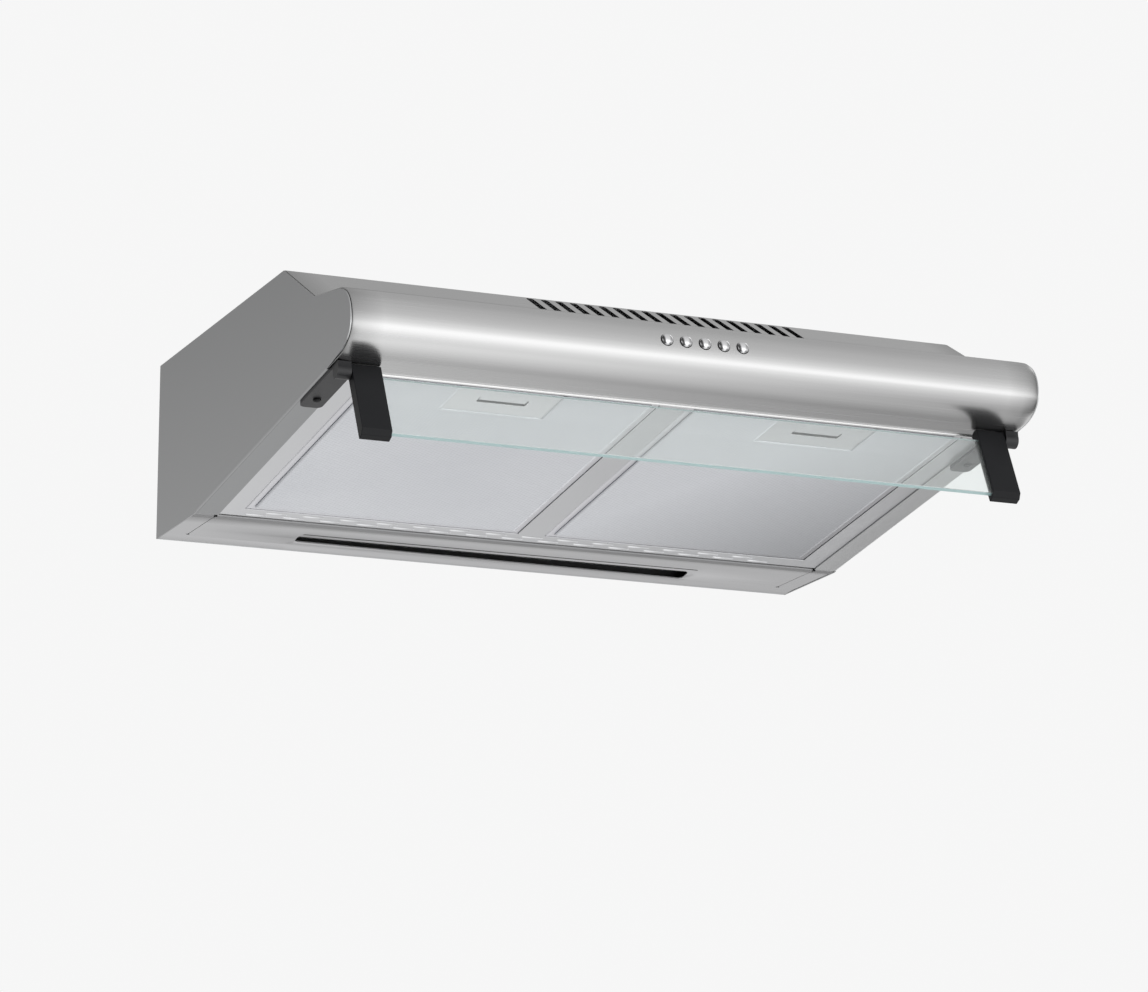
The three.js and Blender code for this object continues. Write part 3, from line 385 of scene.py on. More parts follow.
def paint_shade_along(tree, tint, painted_shade):
    """The tint, with painted shade that grows darker along a direction.

    The painted shade holds the weights of |X|, X, Y and Z, the start and end in metres, and the last level.
    """
    weights, start, end, last = painted_shade
    place_node = tree.nodes.new("ShaderNodeTexCoord")
    split = tree.nodes.new("ShaderNodeSeparateXYZ")
    tree.links.new(place_node.outputs["Object"], split.inputs["Vector"])
    parts = [math_node(tree, "ABSOLUTE", split.outputs["X"]), *(split.outputs[axis] for axis in "XYZ")]
    along = 0.0
    for part, weight in zip(parts, weights):
        if weight:
            along = math_node(tree, "ADD", math_node(tree, "MULTIPLY", part, weight), along)
    scale = tree.nodes.new("ShaderNodeVectorMath")
    scale.operation = "SCALE"
    tree.links.new(tint, scale.inputs[0])
    tree.links.new(ranged(tree, along, 1.0, last, start, end), scale.inputs["Scale"])
    return scale.outputs["Vector"]


def shades(color, low, high):
    return tuple(c * low for c in color), tuple(min(1.0, c * high) for c in color)


def add_relief(tree, shader, height, strength, distance=0.0001):
    relief = tree.nodes.new("ShaderNodeBump")
    relief.inputs["Strength"].default_value, relief.inputs["Distance"].default_value = strength, distance
    tree.links.new(height, relief.inputs["Height"])
    tree.links.new(relief.outputs["Normal"], shader.inputs["Normal"])


def edge_mask(tree, radius):
    """1 on sharp edges and 0 on flats, where handling rubs a surface."""
    bevel = tree.nodes.new("ShaderNodeBevel")
    bevel.samples = 4
    bevel.inputs["Radius"].default_value = radius
    geometry = tree.nodes.new("ShaderNodeNewGeometry")
    dot = tree.nodes.new("ShaderNodeVectorMath")
    dot.operation = "DOT_PRODUCT"
    tree.links.new(bevel.outputs["Normal"], dot.inputs[0])
    tree.links.new(geometry.outputs["Normal"], dot.inputs[1])
    return ranged(tree, dot.outputs["Value"], 1.0, 0.0, 0.75, 0.99)


def surface(name, color, roughness, metallic=0.0, grain=900, blotch=14, spread=0.05,
            rough_spread=0.06, bump=0.15, depth=0.0001, wear=None, anisotropic=0.0, specular=0.5, painted_shade=None):
    """A grained surface: fine grain and broad smudges vary its colour, its gloss and its relief, and painted
    shade can darken it along a direction.
    """
    material, tree, shader = fresh(name)
    fine = noise_of(tree, grain)
    broad = noise_of(tree, blotch, 3.0)
    both = math_node(tree, "ADD", math_node(tree, "MULTIPLY", fine, 0.65),
                     math_node(tree, "MULTIPLY", broad, 0.35))
    dark, light = shades(color, 1 - spread, 1 + spread)
    tint = mixed(tree, ranged(tree, both, 0.0, 1.0), dark, light)
    rough = ranged(tree, both, roughness - rough_spread, roughness + rough_spread)
    if wear:
        mask = math_node(tree, "MULTIPLY", edge_mask(tree, 0.0007), ranged(tree, broad, 0.2, 1.0), clamp=True)
        tint = mixed(tree, mask, tint, wear)
    # Painted shade: the colour darkens along a direction.
    if painted_shade:
        tint = paint_shade_along(tree, tint, painted_shade)
    tree.links.new(tint, shader.inputs["Base Color"])
    tree.links.new(rough, shader.inputs["Roughness"])
    shader.inputs["Metallic"].default_value = metallic
    shader.inputs["Specular IOR Level"].default_value = specular
    if anisotropic:
        shader.inputs["Anisotropic"].default_value = anisotropic
        tangent = tree.nodes.new("ShaderNodeTangent")
        tangent.direction_type, tangent.axis = "RADIAL", "X"
        tree.links.new(tangent.outputs["Tangent"], shader.inputs["Tangent"])
    add_relief(tree, shader, fine, bump, depth)
    return material


def spangled(name, color, roughness):
    """Galvanised sheet, with the crystals of its zinc."""
    material, tree, shader = fresh(name)
    place_node = tree.nodes.new("ShaderNodeTexCoord")
    cells = tree.nodes.new("ShaderNodeTexVoronoi")
    cells.inputs["Scale"].default_value = 130.0
    tree.links.new(place_node.outputs["Object"], cells.inputs["Vector"])
    separate = tree.nodes.new("ShaderNodeSeparateColor")
    tree.links.new(cells.outputs["Color"], separate.inputs["Color"])
    broad = noise_of(tree, 18, 4.0)
    value = math_node(tree, "ADD", math_node(tree, "MULTIPLY", separate.outputs[0], 0.4),
                      math_node(tree, "MULTIPLY", broad, 0.6))
    dark, light = shades(color, 0.84, 1.08)
    tree.links.new(mixed(tree, value, dark, light), shader.inputs["Base Color"])
    rough = ranged(tree, value, roughness - 0.08, roughness + 0.1, 0.2, 0.8)
    tree.links.new(rough, shader.inputs["Roughness"])
    shader.inputs["Metallic"].default_value = 0.95
    add_relief(tree, shader, value, 0.12)
    return material


def woven(name, color, painted_shade=None):
    """Layers of expanded aluminium mesh: a fine diamond net, with painted shade between its strands where the
    deeper layers lie.
    """
    material, tree, shader = fresh(name)
    place_node = tree.nodes.new("ShaderNodeTexCoord")
    waves = []
    for angle in (32.0, -32.0):
        mapping = tree.nodes.new("ShaderNodeMapping")
        mapping.inputs["Rotation"].default_value = (0, 0, math.radians(angle))
        wave = tree.nodes.new("ShaderNodeTexWave")
        wave.bands_direction = "Y"
        wave.inputs["Scale"].default_value = 300.0 / math.pi
        wave.inputs["Distortion"].default_value = 0.4
        tree.links.new(place_node.outputs["Object"], mapping.inputs["Vector"])
        tree.links.new(mapping.outputs["Vector"], wave.inputs["Vector"])
        waves.append(wave.outputs["Fac"])
    strands = math_node(tree, "MAXIMUM", *waves)
    broad = noise_of(tree, 9, 4.0)
    fine = noise_of(tree, 420, 2.0)
    value = math_node(tree, "MULTIPLY", strands, ranged(tree, fine, 0.75, 1.0))
    dark, light = shades(color, 0.90, 1.04)
    smudge = ranged(tree, broad, 0.0, 1.0)
    # The strands take the light tone and the gaps between them painted shade; broad smudges darken it at
    # random.
    tint = mixed(tree, value, dark, light)
    tint = mixed(tree, math_node(tree, "MULTIPLY", smudge, 0.35), tint, dark)
    tree.links.new(paint_shade_along(tree, tint, painted_shade) if painted_shade else tint, shader.inputs["Base Color"])
    tree.links.new(ranged(tree, broad, 0.42, 0.56), shader.inputs["Roughness"])
    shader.inputs["Metallic"].default_value = 1.0
    add_relief(tree, shader, value, 0.35, 0.0004)
    return material


def glassy(name, color, roughness, transmission, ior=1.45):
    """Glass or clear plastic with faint wiping marks."""
    material, tree, shader = fresh(name)
    broad = noise_of(tree, (22, 22, 9), 5.0)
    fine = noise_of(tree, (260, 40, 260), 3.0)
    both = math_node(tree, "MULTIPLY", broad, fine)
    dark = tuple(c * 0.985 for c in color)
    tree.links.new(mixed(tree, ranged(tree, broad, 0.0, 1.0), dark, color), shader.inputs["Base Color"])
    tree.links.new(ranged(tree, both, roughness, roughness + 0.03, 0.15, 0.4), shader.inputs["Roughness"])
    shader.inputs["Transmission Weight"].default_value = transmission
    shader.inputs["IOR"].default_value = ior
    return material


BRUSHED_X = {"grain": (3, 900, 900), "bump": 0.07}  # brush lines along X
BRUSHED_Y = {"grain": (900, 3, 900), "blotch": (18, 5, 18), "spread": 0.035, "rough_spread": 0.04,
             "bump": 0.07}
PAINTED_FILTER_SHADE = ((0, 1, 0.5, 0), -0.05, 0.18, 0.58)  # painted shade: the filters' colour grows darker to the right and the rear
# Painted shade: the nose's colour darkens over its last 27 mm towards both ends.
steel_nose = surface("steel_nose", (0.60, 0.60, 0.60), 0.25, 1.0, **BRUSHED_X, blotch=(5, 18, 18),
                     spread=0.035, rough_spread=0.035, anisotropic=0.5,
                     painted_shade=((1, 0, 0, 0), 0.272, 0.299, 0.68))
# The hem is the nose's own steel; its lighter colour is a painted highlight along the rolled edge.
hem_painted_highlight = surface("hem_painted_highlight", (0.72, 0.72, 0.72), 0.24, 1.0, grain=(3, 900, 900), blotch=(5, 18, 18),
                    spread=0.04, rough_spread=0.03, bump=0.05)
# Painted shade: the side plates' colour darkens towards their top and their front.
steel_side = surface("steel_side", (0.60, 0.605, 0.61), 0.32, 1.0, **BRUSHED_Y, wear=(0.75, 0.75, 0.75),
                     painted_shade=((0, 0, -0.06, 1), -0.0775, 0.105, 0.77))
# Painted shade: this steel darkens towards the front and the left, near the rear strip's front edge; the top
# panel, which shares it, is darkened over most of its depth.
steel_flat = surface("steel_flat", (0.60, 0.60, 0.61), 0.30, 1.0, **BRUSHED_X, blotch=(6, 16, 16),
                     spread=0.035, rough_spread=0.04, wear=(0.78, 0.78, 0.78),
                     painted_shade=((0, -0.08, -1, 0), 0.096, 0.108, 0.70))
# A darker copy of the strip's steel: painted shade on the front fold, in place of its highlight.
fold_painted_shade = surface("fold_painted_shade", (0.30, 0.30, 0.305), 0.40, 1.0, **BRUSHED_X, blotch=(6, 16, 16),
                     spread=0.05, rough_spread=0.04)
# Lit and shaded copies of the side steel for the folded flanges: the left one is painted shade, the right one
# painted light.
flange_shade_and_light = {
    -1: surface("flange_painted_shade_left", (0.355, 0.36, 0.365), 0.34, 1.0, **BRUSHED_Y, wear=(0.75, 0.75, 0.75)),
    1: surface("flange_painted_light_right", (0.66, 0.665, 0.67), 0.34, 1.0, **BRUSHED_Y, wear=(0.8, 0.8, 0.8)),
}
carrier_steel = surface("carrier_steel", (0.72, 0.725, 0.74), 0.33, 1.0, grain=(700, 5, 700),
                        blotch=12, spread=0.03, bump=0.05, wear=(0.85, 0.85, 0.86))
aluminium = surface("filter_rim", (0.80, 0.80, 0.83), 0.36, 1.0, grain=(5, 5, 700), blotch=12,
                    spread=0.03, bump=0.05, wear=(0.85, 0.85, 0.87), painted_shade=PAINTED_FILTER_SHADE)
plate_alu = surface("filter_plate", (0.86, 0.865, 0.88), 0.34, 1.0, grain=(500, 8, 500), blotch=20,
                    spread=0.03, bump=0.05)
mesh_alu = woven("filter_mesh_net", (0.88, 0.895, 0.93), PAINTED_FILTER_SHADE)
black = surface("black_plastic", (0.017, 0.017, 0.019), 0.42, grain=2600, blotch=40,
                spread=0.22, rough_spread=0.07, bump=0.25, depth=0.00012, wear=(0.05, 0.05, 0.055))
arm_black = surface("arm_plastic", (0.010, 0.0105, 0.012), 0.40, grain=2600,
                    blotch=40, spread=0.2, rough_spread=0.06, bump=0.2, depth=0.00012,
                    wear=(0.06, 0.062, 0.07), specular=0.2)
black_steel = surface("blackened_steel", (0.02, 0.02, 0.021), 0.5, 0.4, grain=900,
                      spread=0.15, bump=0.2, specular=0.3)
dark_inside = surface("black_lining", (0.010, 0.010, 0.011), 0.6, grain=1400, spread=0.3,
                      bump=0.3)
grey = surface("grey_plastic", (0.14, 0.145, 0.15), 0.5, grain=2000, blotch=30,
               spread=0.1, bump=0.25, wear=(0.24, 0.24, 0.25))
white = surface("white_plastic", (0.74, 0.72, 0.68), 0.45, grain=1500, blotch=25,
                spread=0.06, bump=0.15)
chrome = surface("button_metal", (0.78, 0.78, 0.79), 0.16, 1.0, grain=1500,
                 blotch=120, spread=0.03, rough_spread=0.04, bump=0.04)
zinc = spangled("galvanised", (0.56, 0.57, 0.58), 0.38)
bright = surface("plated_steel", (0.68, 0.68, 0.69), 0.26, 1.0, grain=700, blotch=60,
                 spread=0.05, bump=0.1)
paint = surface("motor_paint", (0.10, 0.105, 0.11), 0.42, 0.3, grain=1100,
                blotch=26, spread=0.12, bump=0.35, wear=(0.3, 0.3, 0.3))
pane_glass = glassy("visor_pane", (0.95, 0.992, 0.982), 0.01, 0.9, 1.5)
pane_edge = glassy("visor_edge", (0.46, 0.64, 0.64), 0.2, 0.2)
tube_glass = glassy("lamp_glass", (0.93, 0.92, 0.88), 0.35, 0.5)
cover_glass = glassy("lamp_cover", (0.92, 0.94, 0.94), 0.12, 0.9)

# ---- casing


def nose_shell():
    """The fascia: one sheet from the top, down the vented slope and round the nose to its hemmed edge."""
    upper, lower = bezier(*UPPER, 28), bezier(*LOWER, 28)
    before = [(TOP_LAP - TOP_DEPTH, HEIGHT), (-TOP_DEPTH, HEIGHT), VALLEY, upper[0]]
    lead = fillet(before, (2.5, 7.0))
    path = lead[:-1] + upper + lower[1:] + [LIP]
    normals = side_normals(path)
    shares = [max(0.0, min(1.0, (i - len(lead) + 1) / END_BLEND)) for i in range(len(path))]
    turns = [math.pi / 2 * k / END_STEPS for k in range(END_STEPS + 1)]
    stations = [(-INNER_X + END_LENGTH * (1 - math.cos(t)), END_ROUND * (1 - math.sin(t))) for t in turns]
    stations += [(-x, inset) for x, inset in reversed(stations)]
    bm = bmesh.new()
    rings = []
    for x, inset in stations:
        outer = [Vector(p) + n * (inset * s + CURVE_TRIM) for p, n, s in zip(path, normals, shares)]
        inner = [p + n * SHEET for p, n in zip(outer, normals)]
        rings.append([bm.verts.new((x, *p)) for p in outer + inner[::-1]])
    add_sheet(bm, rings)
    return new_object("nose_shell", bm, HOOD)


def vent_tools():
    fall = math.atan2(HEIGHT - VALLEY[1], -TOP_DEPTH - VALLEY[0])
    middle = VENT_START + VENT_LENGTH / 2
    spot = Matrix.Translation((0, -TOP_DEPTH - middle * math.cos(fall), HEIGHT - middle * math.sin(fall)))
    along = (-VENT_LENGTH / 2, VENT_LENGTH / 2)
    tools = bmesh.new()
    for i in range(VENT_COUNT):
        x = VENT_CENTRE + (i - (VENT_COUNT - 1) / 2) * VENT_PITCH
        outline = rounded_rect((x - VENT_WIDTH / 2, x + VENT_WIDTH / 2), along, VENT_CORNER, 5)
        add_prism(tools, outline, (-4.0, 4.0), "Z")
    return new_object("vent_tools", tools, HOOD @ spot @ Matrix.Rotation(fall, 4, "X"))


def button_tools():
    tools = bmesh.new()
    for i in range(len(BUTTONS)):
        hole = circle((i - 2) * BUTTON_PITCH, 0.0, BUTTON_RADIUS + BUTTON_PLAY, 40)
        add_prism(tools, hole, (-10.0, 10.0), "Z")
    return new_object("button_tools", tools, CONTROLS)


fascia = boolean(nose_shell(), [vent_tools(), button_tools()])
place(fascia, "casing", steel_nose, ["front_fascia"], 0.0, angle=24.0)

hem_x = WIDTH / 2 - FLANGE - 2 * GAP
hem = build("nose_hem", HOOD, add_rod, LIP[0], LIP[1] + SHEET - LIP_RADIUS, LIP_RADIUS, (-hem_x, hem_x), 24)
place(hem, "casing", hem_painted_highlight, (), 0.25, 2)


def side_skin(side, sign):
    """A side plate whose lower edge is folded in to a flange, and its upper edge to a lap for the top."""
    slope_path = [(TOP_LAP - TOP_DEPTH, HEIGHT), (-TOP_DEPTH, HEIGHT), VALLEY]
    whole = slope_path + bezier(*UPPER, 24) + bezier(*LOWER, 24)[1:]
    outline = []
    for i, (point, normal) in enumerate(zip(whole, side_normals(whole))):
        inset = SIDE_INSET if i < len(slope_path) else SIDE_INSET + END_ROUND
        outline.append(tuple(Vector(point) + normal * inset))
    fold_front = to_underside(LIP_Y + GAP + LIP_RADIUS, LIP[1])[0]
    front, rear = fold_front - FOLD_GAP, FOLD_REAR[0]
    bottom = [in_underside(front, 0.0), in_underside(front, FOLD_LIFT), in_underside(rear, FOLD_LIFT),
              in_underside(rear, 0.0), (-STRIP_DEPTH, 0.0), (0.0, 0.0), (0.0, HEIGHT)]
    outer = sign * WIDTH / 2
    skin = build("side_skin_" + side, HOOD, add_prism, outline + bottom, (outer, outer - sign * SHEET), "X")
    fold = fillet([(outer - sign * FLANGE, 0.0), (outer, 0.0), (outer, FOLD_LIFT + 1.0)], (2.2,), 8)
    thick = [tuple(Vector(p) + n * SHEET * sign) for p, n in zip(fold, side_normals(fold))]
    flange = bmesh.new()
    rings = [[flange.verts.new((x, y, z)) for x, z in fold + thick[::-1]] for y in (fold_front, FOLD_REAR[1])]
    join_rings(flange, *rings)
    for ring in rings:
        flange.faces.new(ring)
    lap_x = mirrored(sign, WIDTH / 2 - 12, WIDTH / 2 - 0.4)
    lap_z = (HEIGHT - 2 * SHEET - GAP, HEIGHT - SHEET - GAP)
    lap = build("lap", HOOD, add_box, lap_x, (40 - TOP_DEPTH, -2.0), lap_z)
    boolean(skin, [new_object("fold", flange, UNDER), lap], "UNION")
    place(skin, "casing", steel_side, ["side_panel_" + side], 0.3, 3)
    # The flange's downward faces take that side's painted shade or painted light.
    skin.data.materials.append(flange_shade_and_light[sign])
    for polygon in skin.data.polygons:
        if polygon.normal.z < -0.9:
            polygon.material_index = 1


side_skin("left", -1)
side_skin("right", 1)


def strip_rise(x, y):
    """How far the rear strip's sheet is pressed up at a point between its folded edges."""
    if not STEP_SPAN[0] < y < STEP_SPAN[1]:
        return 0.0
    step = STEP_RISE * max(0.0, min(1.0, (y - STEP_Y) / 3.0)) if y < RAMP_Y[0] - 6 else STEP_RISE
    if abs(x) > SLOT_HALF:
        return step
    ramp = max(0.0, min(1.0, (y - RAMP_Y[0]) / (RAMP_Y[1] - RAMP_Y[0]))) if y <= RAMP_Y[1] else 0.0
    groove = max(0.0, 1 - abs(y - SLOT_REAR - GROOVE_HALF) / GROOVE_HALF)
    return RAMP_RISE * ramp * ramp + GROOVE_RISE * groove + step


def strip_shell():
    """The flat rear strip, with its slot, a pressed ramp in front of the slot and folded edges."""
    rear = -SHEET - GAP
    path = fillet([(-STRIP_DEPTH, 12.0), (-STRIP_DEPTH, 0.0), (rear, 0.0), (rear, 14.0)], (1.6, 1.6), 6)
    flat_front = [p for p in path if p[0] < -50]
    flat_rear = [p for p in path if p[0] > -50]
    steps = [RAMP_Y[0] + (RAMP_Y[1] - RAMP_Y[0]) * k / 12 for k in range(13)]
    cells = [STEP_Y + k for k in range(4)] + steps
    cells += [SLOT_REAR + GROOVE_HALF * k / 2 for k in range(5)]
    path = flat_front + [(y, 0.0) for y in cells] + flat_rear
    normals = side_normals(path)
    bm = bmesh.new()
    rings = []
    for x in (-INNER_X, -SLOT_HALF - 5, -SLOT_HALF, SLOT_HALF, SLOT_HALF + 5, INNER_X):
        outer = [Vector((y, z + strip_rise(x, y))) for y, z in path]
        inner = [p + n * SHEET for p, n in zip(outer, normals)]
        rings.append([bm.verts.new((x, *p)) for p in outer + inner[::-1]])
    add_sheet(bm, rings)
    strip = new_object("strip_shell", bm, HOOD)
    outline = [(-SLOT_HALF, RAMP_Y[1] + 1), (-SLOT_HALF + 1, RAMP_Y[1]), (SLOT_HALF - 3, RAMP_Y[1]),
               (SLOT_HALF, RAMP_Y[1] + 3), (SLOT_HALF, SLOT_REAR - 3), (SLOT_HALF - 3, SLOT_REAR),
               (-SLOT_HALF + 3, TAPER_Y), (-SLOT_HALF, TAPER_Y - 3)]
    boolean(strip, [build("slot_tool", HOOD, add_prism, outline, (-5.0, 12.0), "Z")])
    relief = [(0, -1.0), (RELIEF_RADIUS, -1.0), (RELIEF_RADIUS, 3.0), (0, 3.0)]
    for sign in (-1, 1):  # the seam beside each side panel's flange, with a relief hole at both ends
        seam_x = sign * (WIDTH / 2 - FLANGE + 1)
        slit, holes = bmesh.new(), bmesh.new()
        add_box(slit, (seam_x - SEAM_HALF, seam_x + SEAM_HALF), (-STRIP_DEPTH - 1, SEAM_REAR), (-1.0, 13.0))
        for y in (-STRIP_DEPTH + 1.0, SEAM_REAR):
            add_turned(holes, relief, 20, (seam_x, y))
        boolean(strip, [new_object("slit_tool", slit, HOOD), new_object("relief_tool", holes, HOOD)])
    place(strip, "casing", steel_flat, ["rear_bottom_strip"])
    # The front fold's faces before FOLD_END take the painted shade.
    strip.data.materials.append(fold_painted_shade)
    for polygon in strip.data.polygons:
        if polygon.center.y < FOLD_END and polygon.normal.z < 0.2:
            polygon.material_index = 1


strip_shell()


def carrier_plate():
    """The plate round the two filters, with two rows of pressed drain ribs behind them."""
    plate = build("carrier_plate", UNDER, add_box, (-CARRIER_X, CARRIER_X), CARRIER_Y, CARRIER_Z)
    tools = bmesh.new()
    for sign in (-1, 1):
        x = mirrored(sign, WINDOW_X[0] + LIP_IN, WINDOW_X[1] - LIP_IN)
        y = (WINDOW_Y[0] + LIP_IN, WINDOW_Y[1] - LIP_IN)
        add_prism(tools, rounded_rect(x, y, 1.5, 4), (0.0, 5.0), "Z")
    boolean(plate, [new_object("window_tools", tools, UNDER)])
    place(plate, "casing", carrier_steel, ["filter_carrier"], 0.3, 2)
    ribs = bmesh.new()
    for y, start, count in RIB_ROWS:
        for k in range(count):
            rings = []
            for dx, share in RIB_ENDS:
                x = start + RIB_PITCH * k + dx
                rings.append([ribs.verts.new((x, y + dy, RIB_ROOT - (RIB_ROOT - z) * share))
                              for dy, z in RIB_SECTION])
            for low, high in zip(rings, rings[1:]):
                for a, b, c, d in zip(low, low[1:], high[1:], high):
                    if len({tuple(v.co) for v in (a, b, c, d)}) > 2:
                        ribs.faces.new((a, b, c, d))
    drain = new_object("drain_ribs", ribs, UNDER)
    place(drain, "casing", plate_alu, angle=60.0)


carrier_plate()

# ---- grease filters


def ring_sweep(bm, x, y, section):
    """A closed section of (inset, height) points swept round a rectangle, with mitred corners."""
    corners = ((x[0], y[0], 1, 1), (x[1], y[0], -1, 1), (x[1], y[1], -1, -1), (x[0], y[1], 1, -1))
    rings = [[bm.verts.new((cx + sx * d, cy + sy * d, z)) for d, z in section] for cx, cy, sx, sy in corners]
    for k in range(4):
        join_rings(bm, rings[k], rings[(k + 1) % 4])


def filter_rim(side, x, y, sign):
    low, high = FILTER_Z
    section = [(0.0, high - 0.6), (0.6, high), (FILTER_RIM - 0.6, high), (FILTER_RIM, high - 0.6),
               (FILTER_RIM, low + 0.7), (FILTER_RIM - 0.25, low + 0.3), (FILTER_RIM - 0.9, low + 0.05),
               (FILTER_RIM - 2.0, low), (1.4, low), (0.4, low + 0.3), (0.0, low + 0.9)]
    rim = build("filter_rim_" + side, UNDER, ring_sweep, x, y, section)
    centre = sign * LATCH_X
    notch = build("notch_tool", UNDER, add_box, (centre - NOTCH_HALF, centre + NOTCH_HALF),
                  (y[0] - 1, y[0] + FILTER_RIM + 1), NOTCH_Z)
    boolean(rim, [notch])
    tabs = bmesh.new()
    for tab in TAB_X:
        add_box(tabs, mirrored(sign, tab - TAB_HALF, tab + TAB_HALF), (y[1] - 1, y[1] + TAB_LENGTH), TAB_Z)
    boolean(rim, [new_object("tab_tool", tabs, UNDER)], "UNION")
    place(rim, "filter_" + side, aluminium, ["filter_frame_" + side], angle=50.0)


def filter_net(side, x, y, sign):
    """A gently waved sheet inside the rim, open where the latch plate covers it."""
    inset = FILTER_RIM + 0.1
    net = bmesh.new()
    grid = []
    width, depth = x[1] - x[0] - 2 * inset, y[1] - y[0] - 2 * inset
    for j in range(NET_ROWS + 1):
        line = []
        for i in range(NET_COLUMNS + 1):
            px, py = x[0] + inset + width * i / NET_COLUMNS, y[0] + inset + depth * j / NET_ROWS
            edge = min(1.0, min(i, NET_COLUMNS - i, j, NET_ROWS - j) / 2)
            wave = math.sin(px * NET_PHASE[0]) * math.sin(py * NET_PHASE[1])
            line.append(net.verts.new((px, py, MESH_BOTTOM + NET_LIFT + NET_WAVE * wave * edge)))
        grid.append(line)
    for j in range(NET_ROWS):
        for i in range(NET_COLUMNS):
            mid_x = (grid[j][i].co.x + grid[j][i + 1].co.x) / 2
            mid_y = (grid[j][i].co.y + grid[j + 1][i].co.y) / 2
            if abs(mid_x - sign * LATCH_X) < LATCH_HALF - 1 and mid_y < LATCH_Y[1] - 1:
                continue
            net.faces.new((grid[j][i], grid[j][i + 1], grid[j + 1][i + 1], grid[j + 1][i]))
    loose = [v for v in net.verts if not v.link_faces]
    bmesh.ops.delete(net, geom=loose, context="VERTS")
    weave = new_object("filter_net_" + side, net, UNDER)
    layers = weave.modifiers.new("layers", "SOLIDIFY")
    layers.thickness, layers.offset = 0.0018, -1.0
    place(weave, "filter_" + side, mesh_alu, ["filter_mesh_" + side], angle=80.0)


def latch_plate(side, sign):
    centre = sign * LATCH_X
    outline = rounded_rect((centre - LATCH_HALF, centre + LATCH_HALF), LATCH_Y, 1.5, 4)
    plate = build("latch_plate_" + side, UNDER, add_prism, outline, LATCH_Z, "Z")
    rails = bmesh.new()
    for rail_sign in (-1, 1):
        rail = tuple(sorted((centre + rail_sign * (LATCH_HALF - 1), centre + rail_sign * LATCH_HALF)))
        add_box(rails, rail, (LATCH_Y[0] + 1.5, LATCH_Y[1] - 1.5), RAIL_Z)
    boolean(plate, [new_object("rails", rails, UNDER)], "UNION")
    finger = rounded_rect((centre - FINGER_HALF, centre + FINGER_HALF), FINGER_Y, 2.5, 6)
    boolean(plate, [build("finger_tool", UNDER, add_prism, finger, (0.0, 5.0), "Z")])
    place(plate, "filter_" + side, plate_alu, ["latch_cover_" + side], 0.35, 3)


for side_name, side_sign in (("left", -1), ("right", 1)):
    filter_x = mirrored(side_sign, WINDOW_X[0] + FILTER_PLAY, WINDOW_X[1] - FILTER_PLAY)
    filter_y = (WINDOW_Y[0] + FILTER_PLAY, WINDOW_Y[1] - FILTER_PLAY)
    filter_rim(side_name, filter_x, filter_y, side_sign)
    filter_net(side_name, filter_x, filter_y, side_sign)
    latch_plate(side_name, side_sign)

# ---- visor


def visor_arm(side, sign):
    half = ARM_THICK / 2
    start = math.acos(half / KNUCKLE)
    turns = [start + (math.pi - 2 * start) * k / 12 for k in range(13)]
    top = [(KNUCKLE * math.cos(a), KNUCKLE * math.sin(a)) for a in turns]
    outline = top + [(-half, ARM_BEVEL - ARM_LENGTH), (ARM_BEVEL - half, -ARM_LENGTH), (half, -ARM_LENGTH)]
    arm = build("arm_" + side, VISOR, add_prism, outline, mirrored(sign, *ARM_X), "X")
    slot_half = GLASS_THICK / 2 + GAP
    slot = build("slot_tool", VISOR, add_box, mirrored(sign, ARM_X[0] - 1, ARM_X[0] + GLASS_BITE + GAP),
                 (-slot_half, slot_half), (GLASS_Z[0] - GAP, GLASS_Z[1] + GAP))
    bore_x = mirrored(sign, ARM_X[1] - ARM_BORE, ARM_X[1] + 1)
    boolean(arm, [slot, build("bore_tool", VISOR, add_rod, 0.0, 0.0, BORE_RADIUS, bore_x, 24)])
    place(arm, "visor", arm_black, ["visor_arm_" + side], 0.9, 4)


def hinge_foot(side, sign):
    axis_y, axis_z = to_underside(*HINGE_AXIS)
    x0, x1 = HINGE_X
    half, mid = (x1 - x0) / 2, sign * (x0 + x1) / 2
    z = (-GAP - HINGE_THICK, -GAP)
    front = axis_y + FOOT_START
    path = [(mid - half, front), (mid - half, HINGE_REAR), (mid + half, HINGE_REAR), (mid + half, front)]
    outline = fillet(path, (HINGE_CORNER, HINGE_CORNER), 8)
    foot = build("hinge_foot_" + side, UNDER, add_prism, outline, z, "Z")
    knuckle_x = mirrored(sign, ARM_X[1] + 2 * GAP, x1)
    saddle_y = (axis_y - KNUCKLE + 0.4, axis_y + KNUCKLE - 0.4)
    boolean(foot, [build("barrel", UNDER, add_rod, axis_y, axis_z, KNUCKLE, knuckle_x, 40),
                   build("saddle", UNDER, add_box, knuckle_x, saddle_y, (axis_z, -GAP)),
                   build("neck", UNDER, add_box, knuckle_x, (axis_y, front + 1), z)], "UNION")
    hole = [(0, z[0] - 1), (FOOT_SCREW_RADIUS, z[0] - 1), (FOOT_SCREW_RADIUS, z[1] + 1), (0, z[1] + 1)]
    bore_x = mirrored(sign, *PIN_BORE)
    boolean(foot, [build("bore_tool", UNDER, add_rod, axis_y, axis_z, BORE_RADIUS, bore_x, 24),
                   build("hole_tool", UNDER, add_turned, hole, 24, (mid, FOOT_SCREW_Y))])
    place(foot, "casing", black, ["hinge_base_" + side], 0.6, 3)


for side_name, side_sign in (("left", -1), ("right", 1)):
    visor_arm(side_name, side_sign)
    hinge_foot(side_name, side_sign)

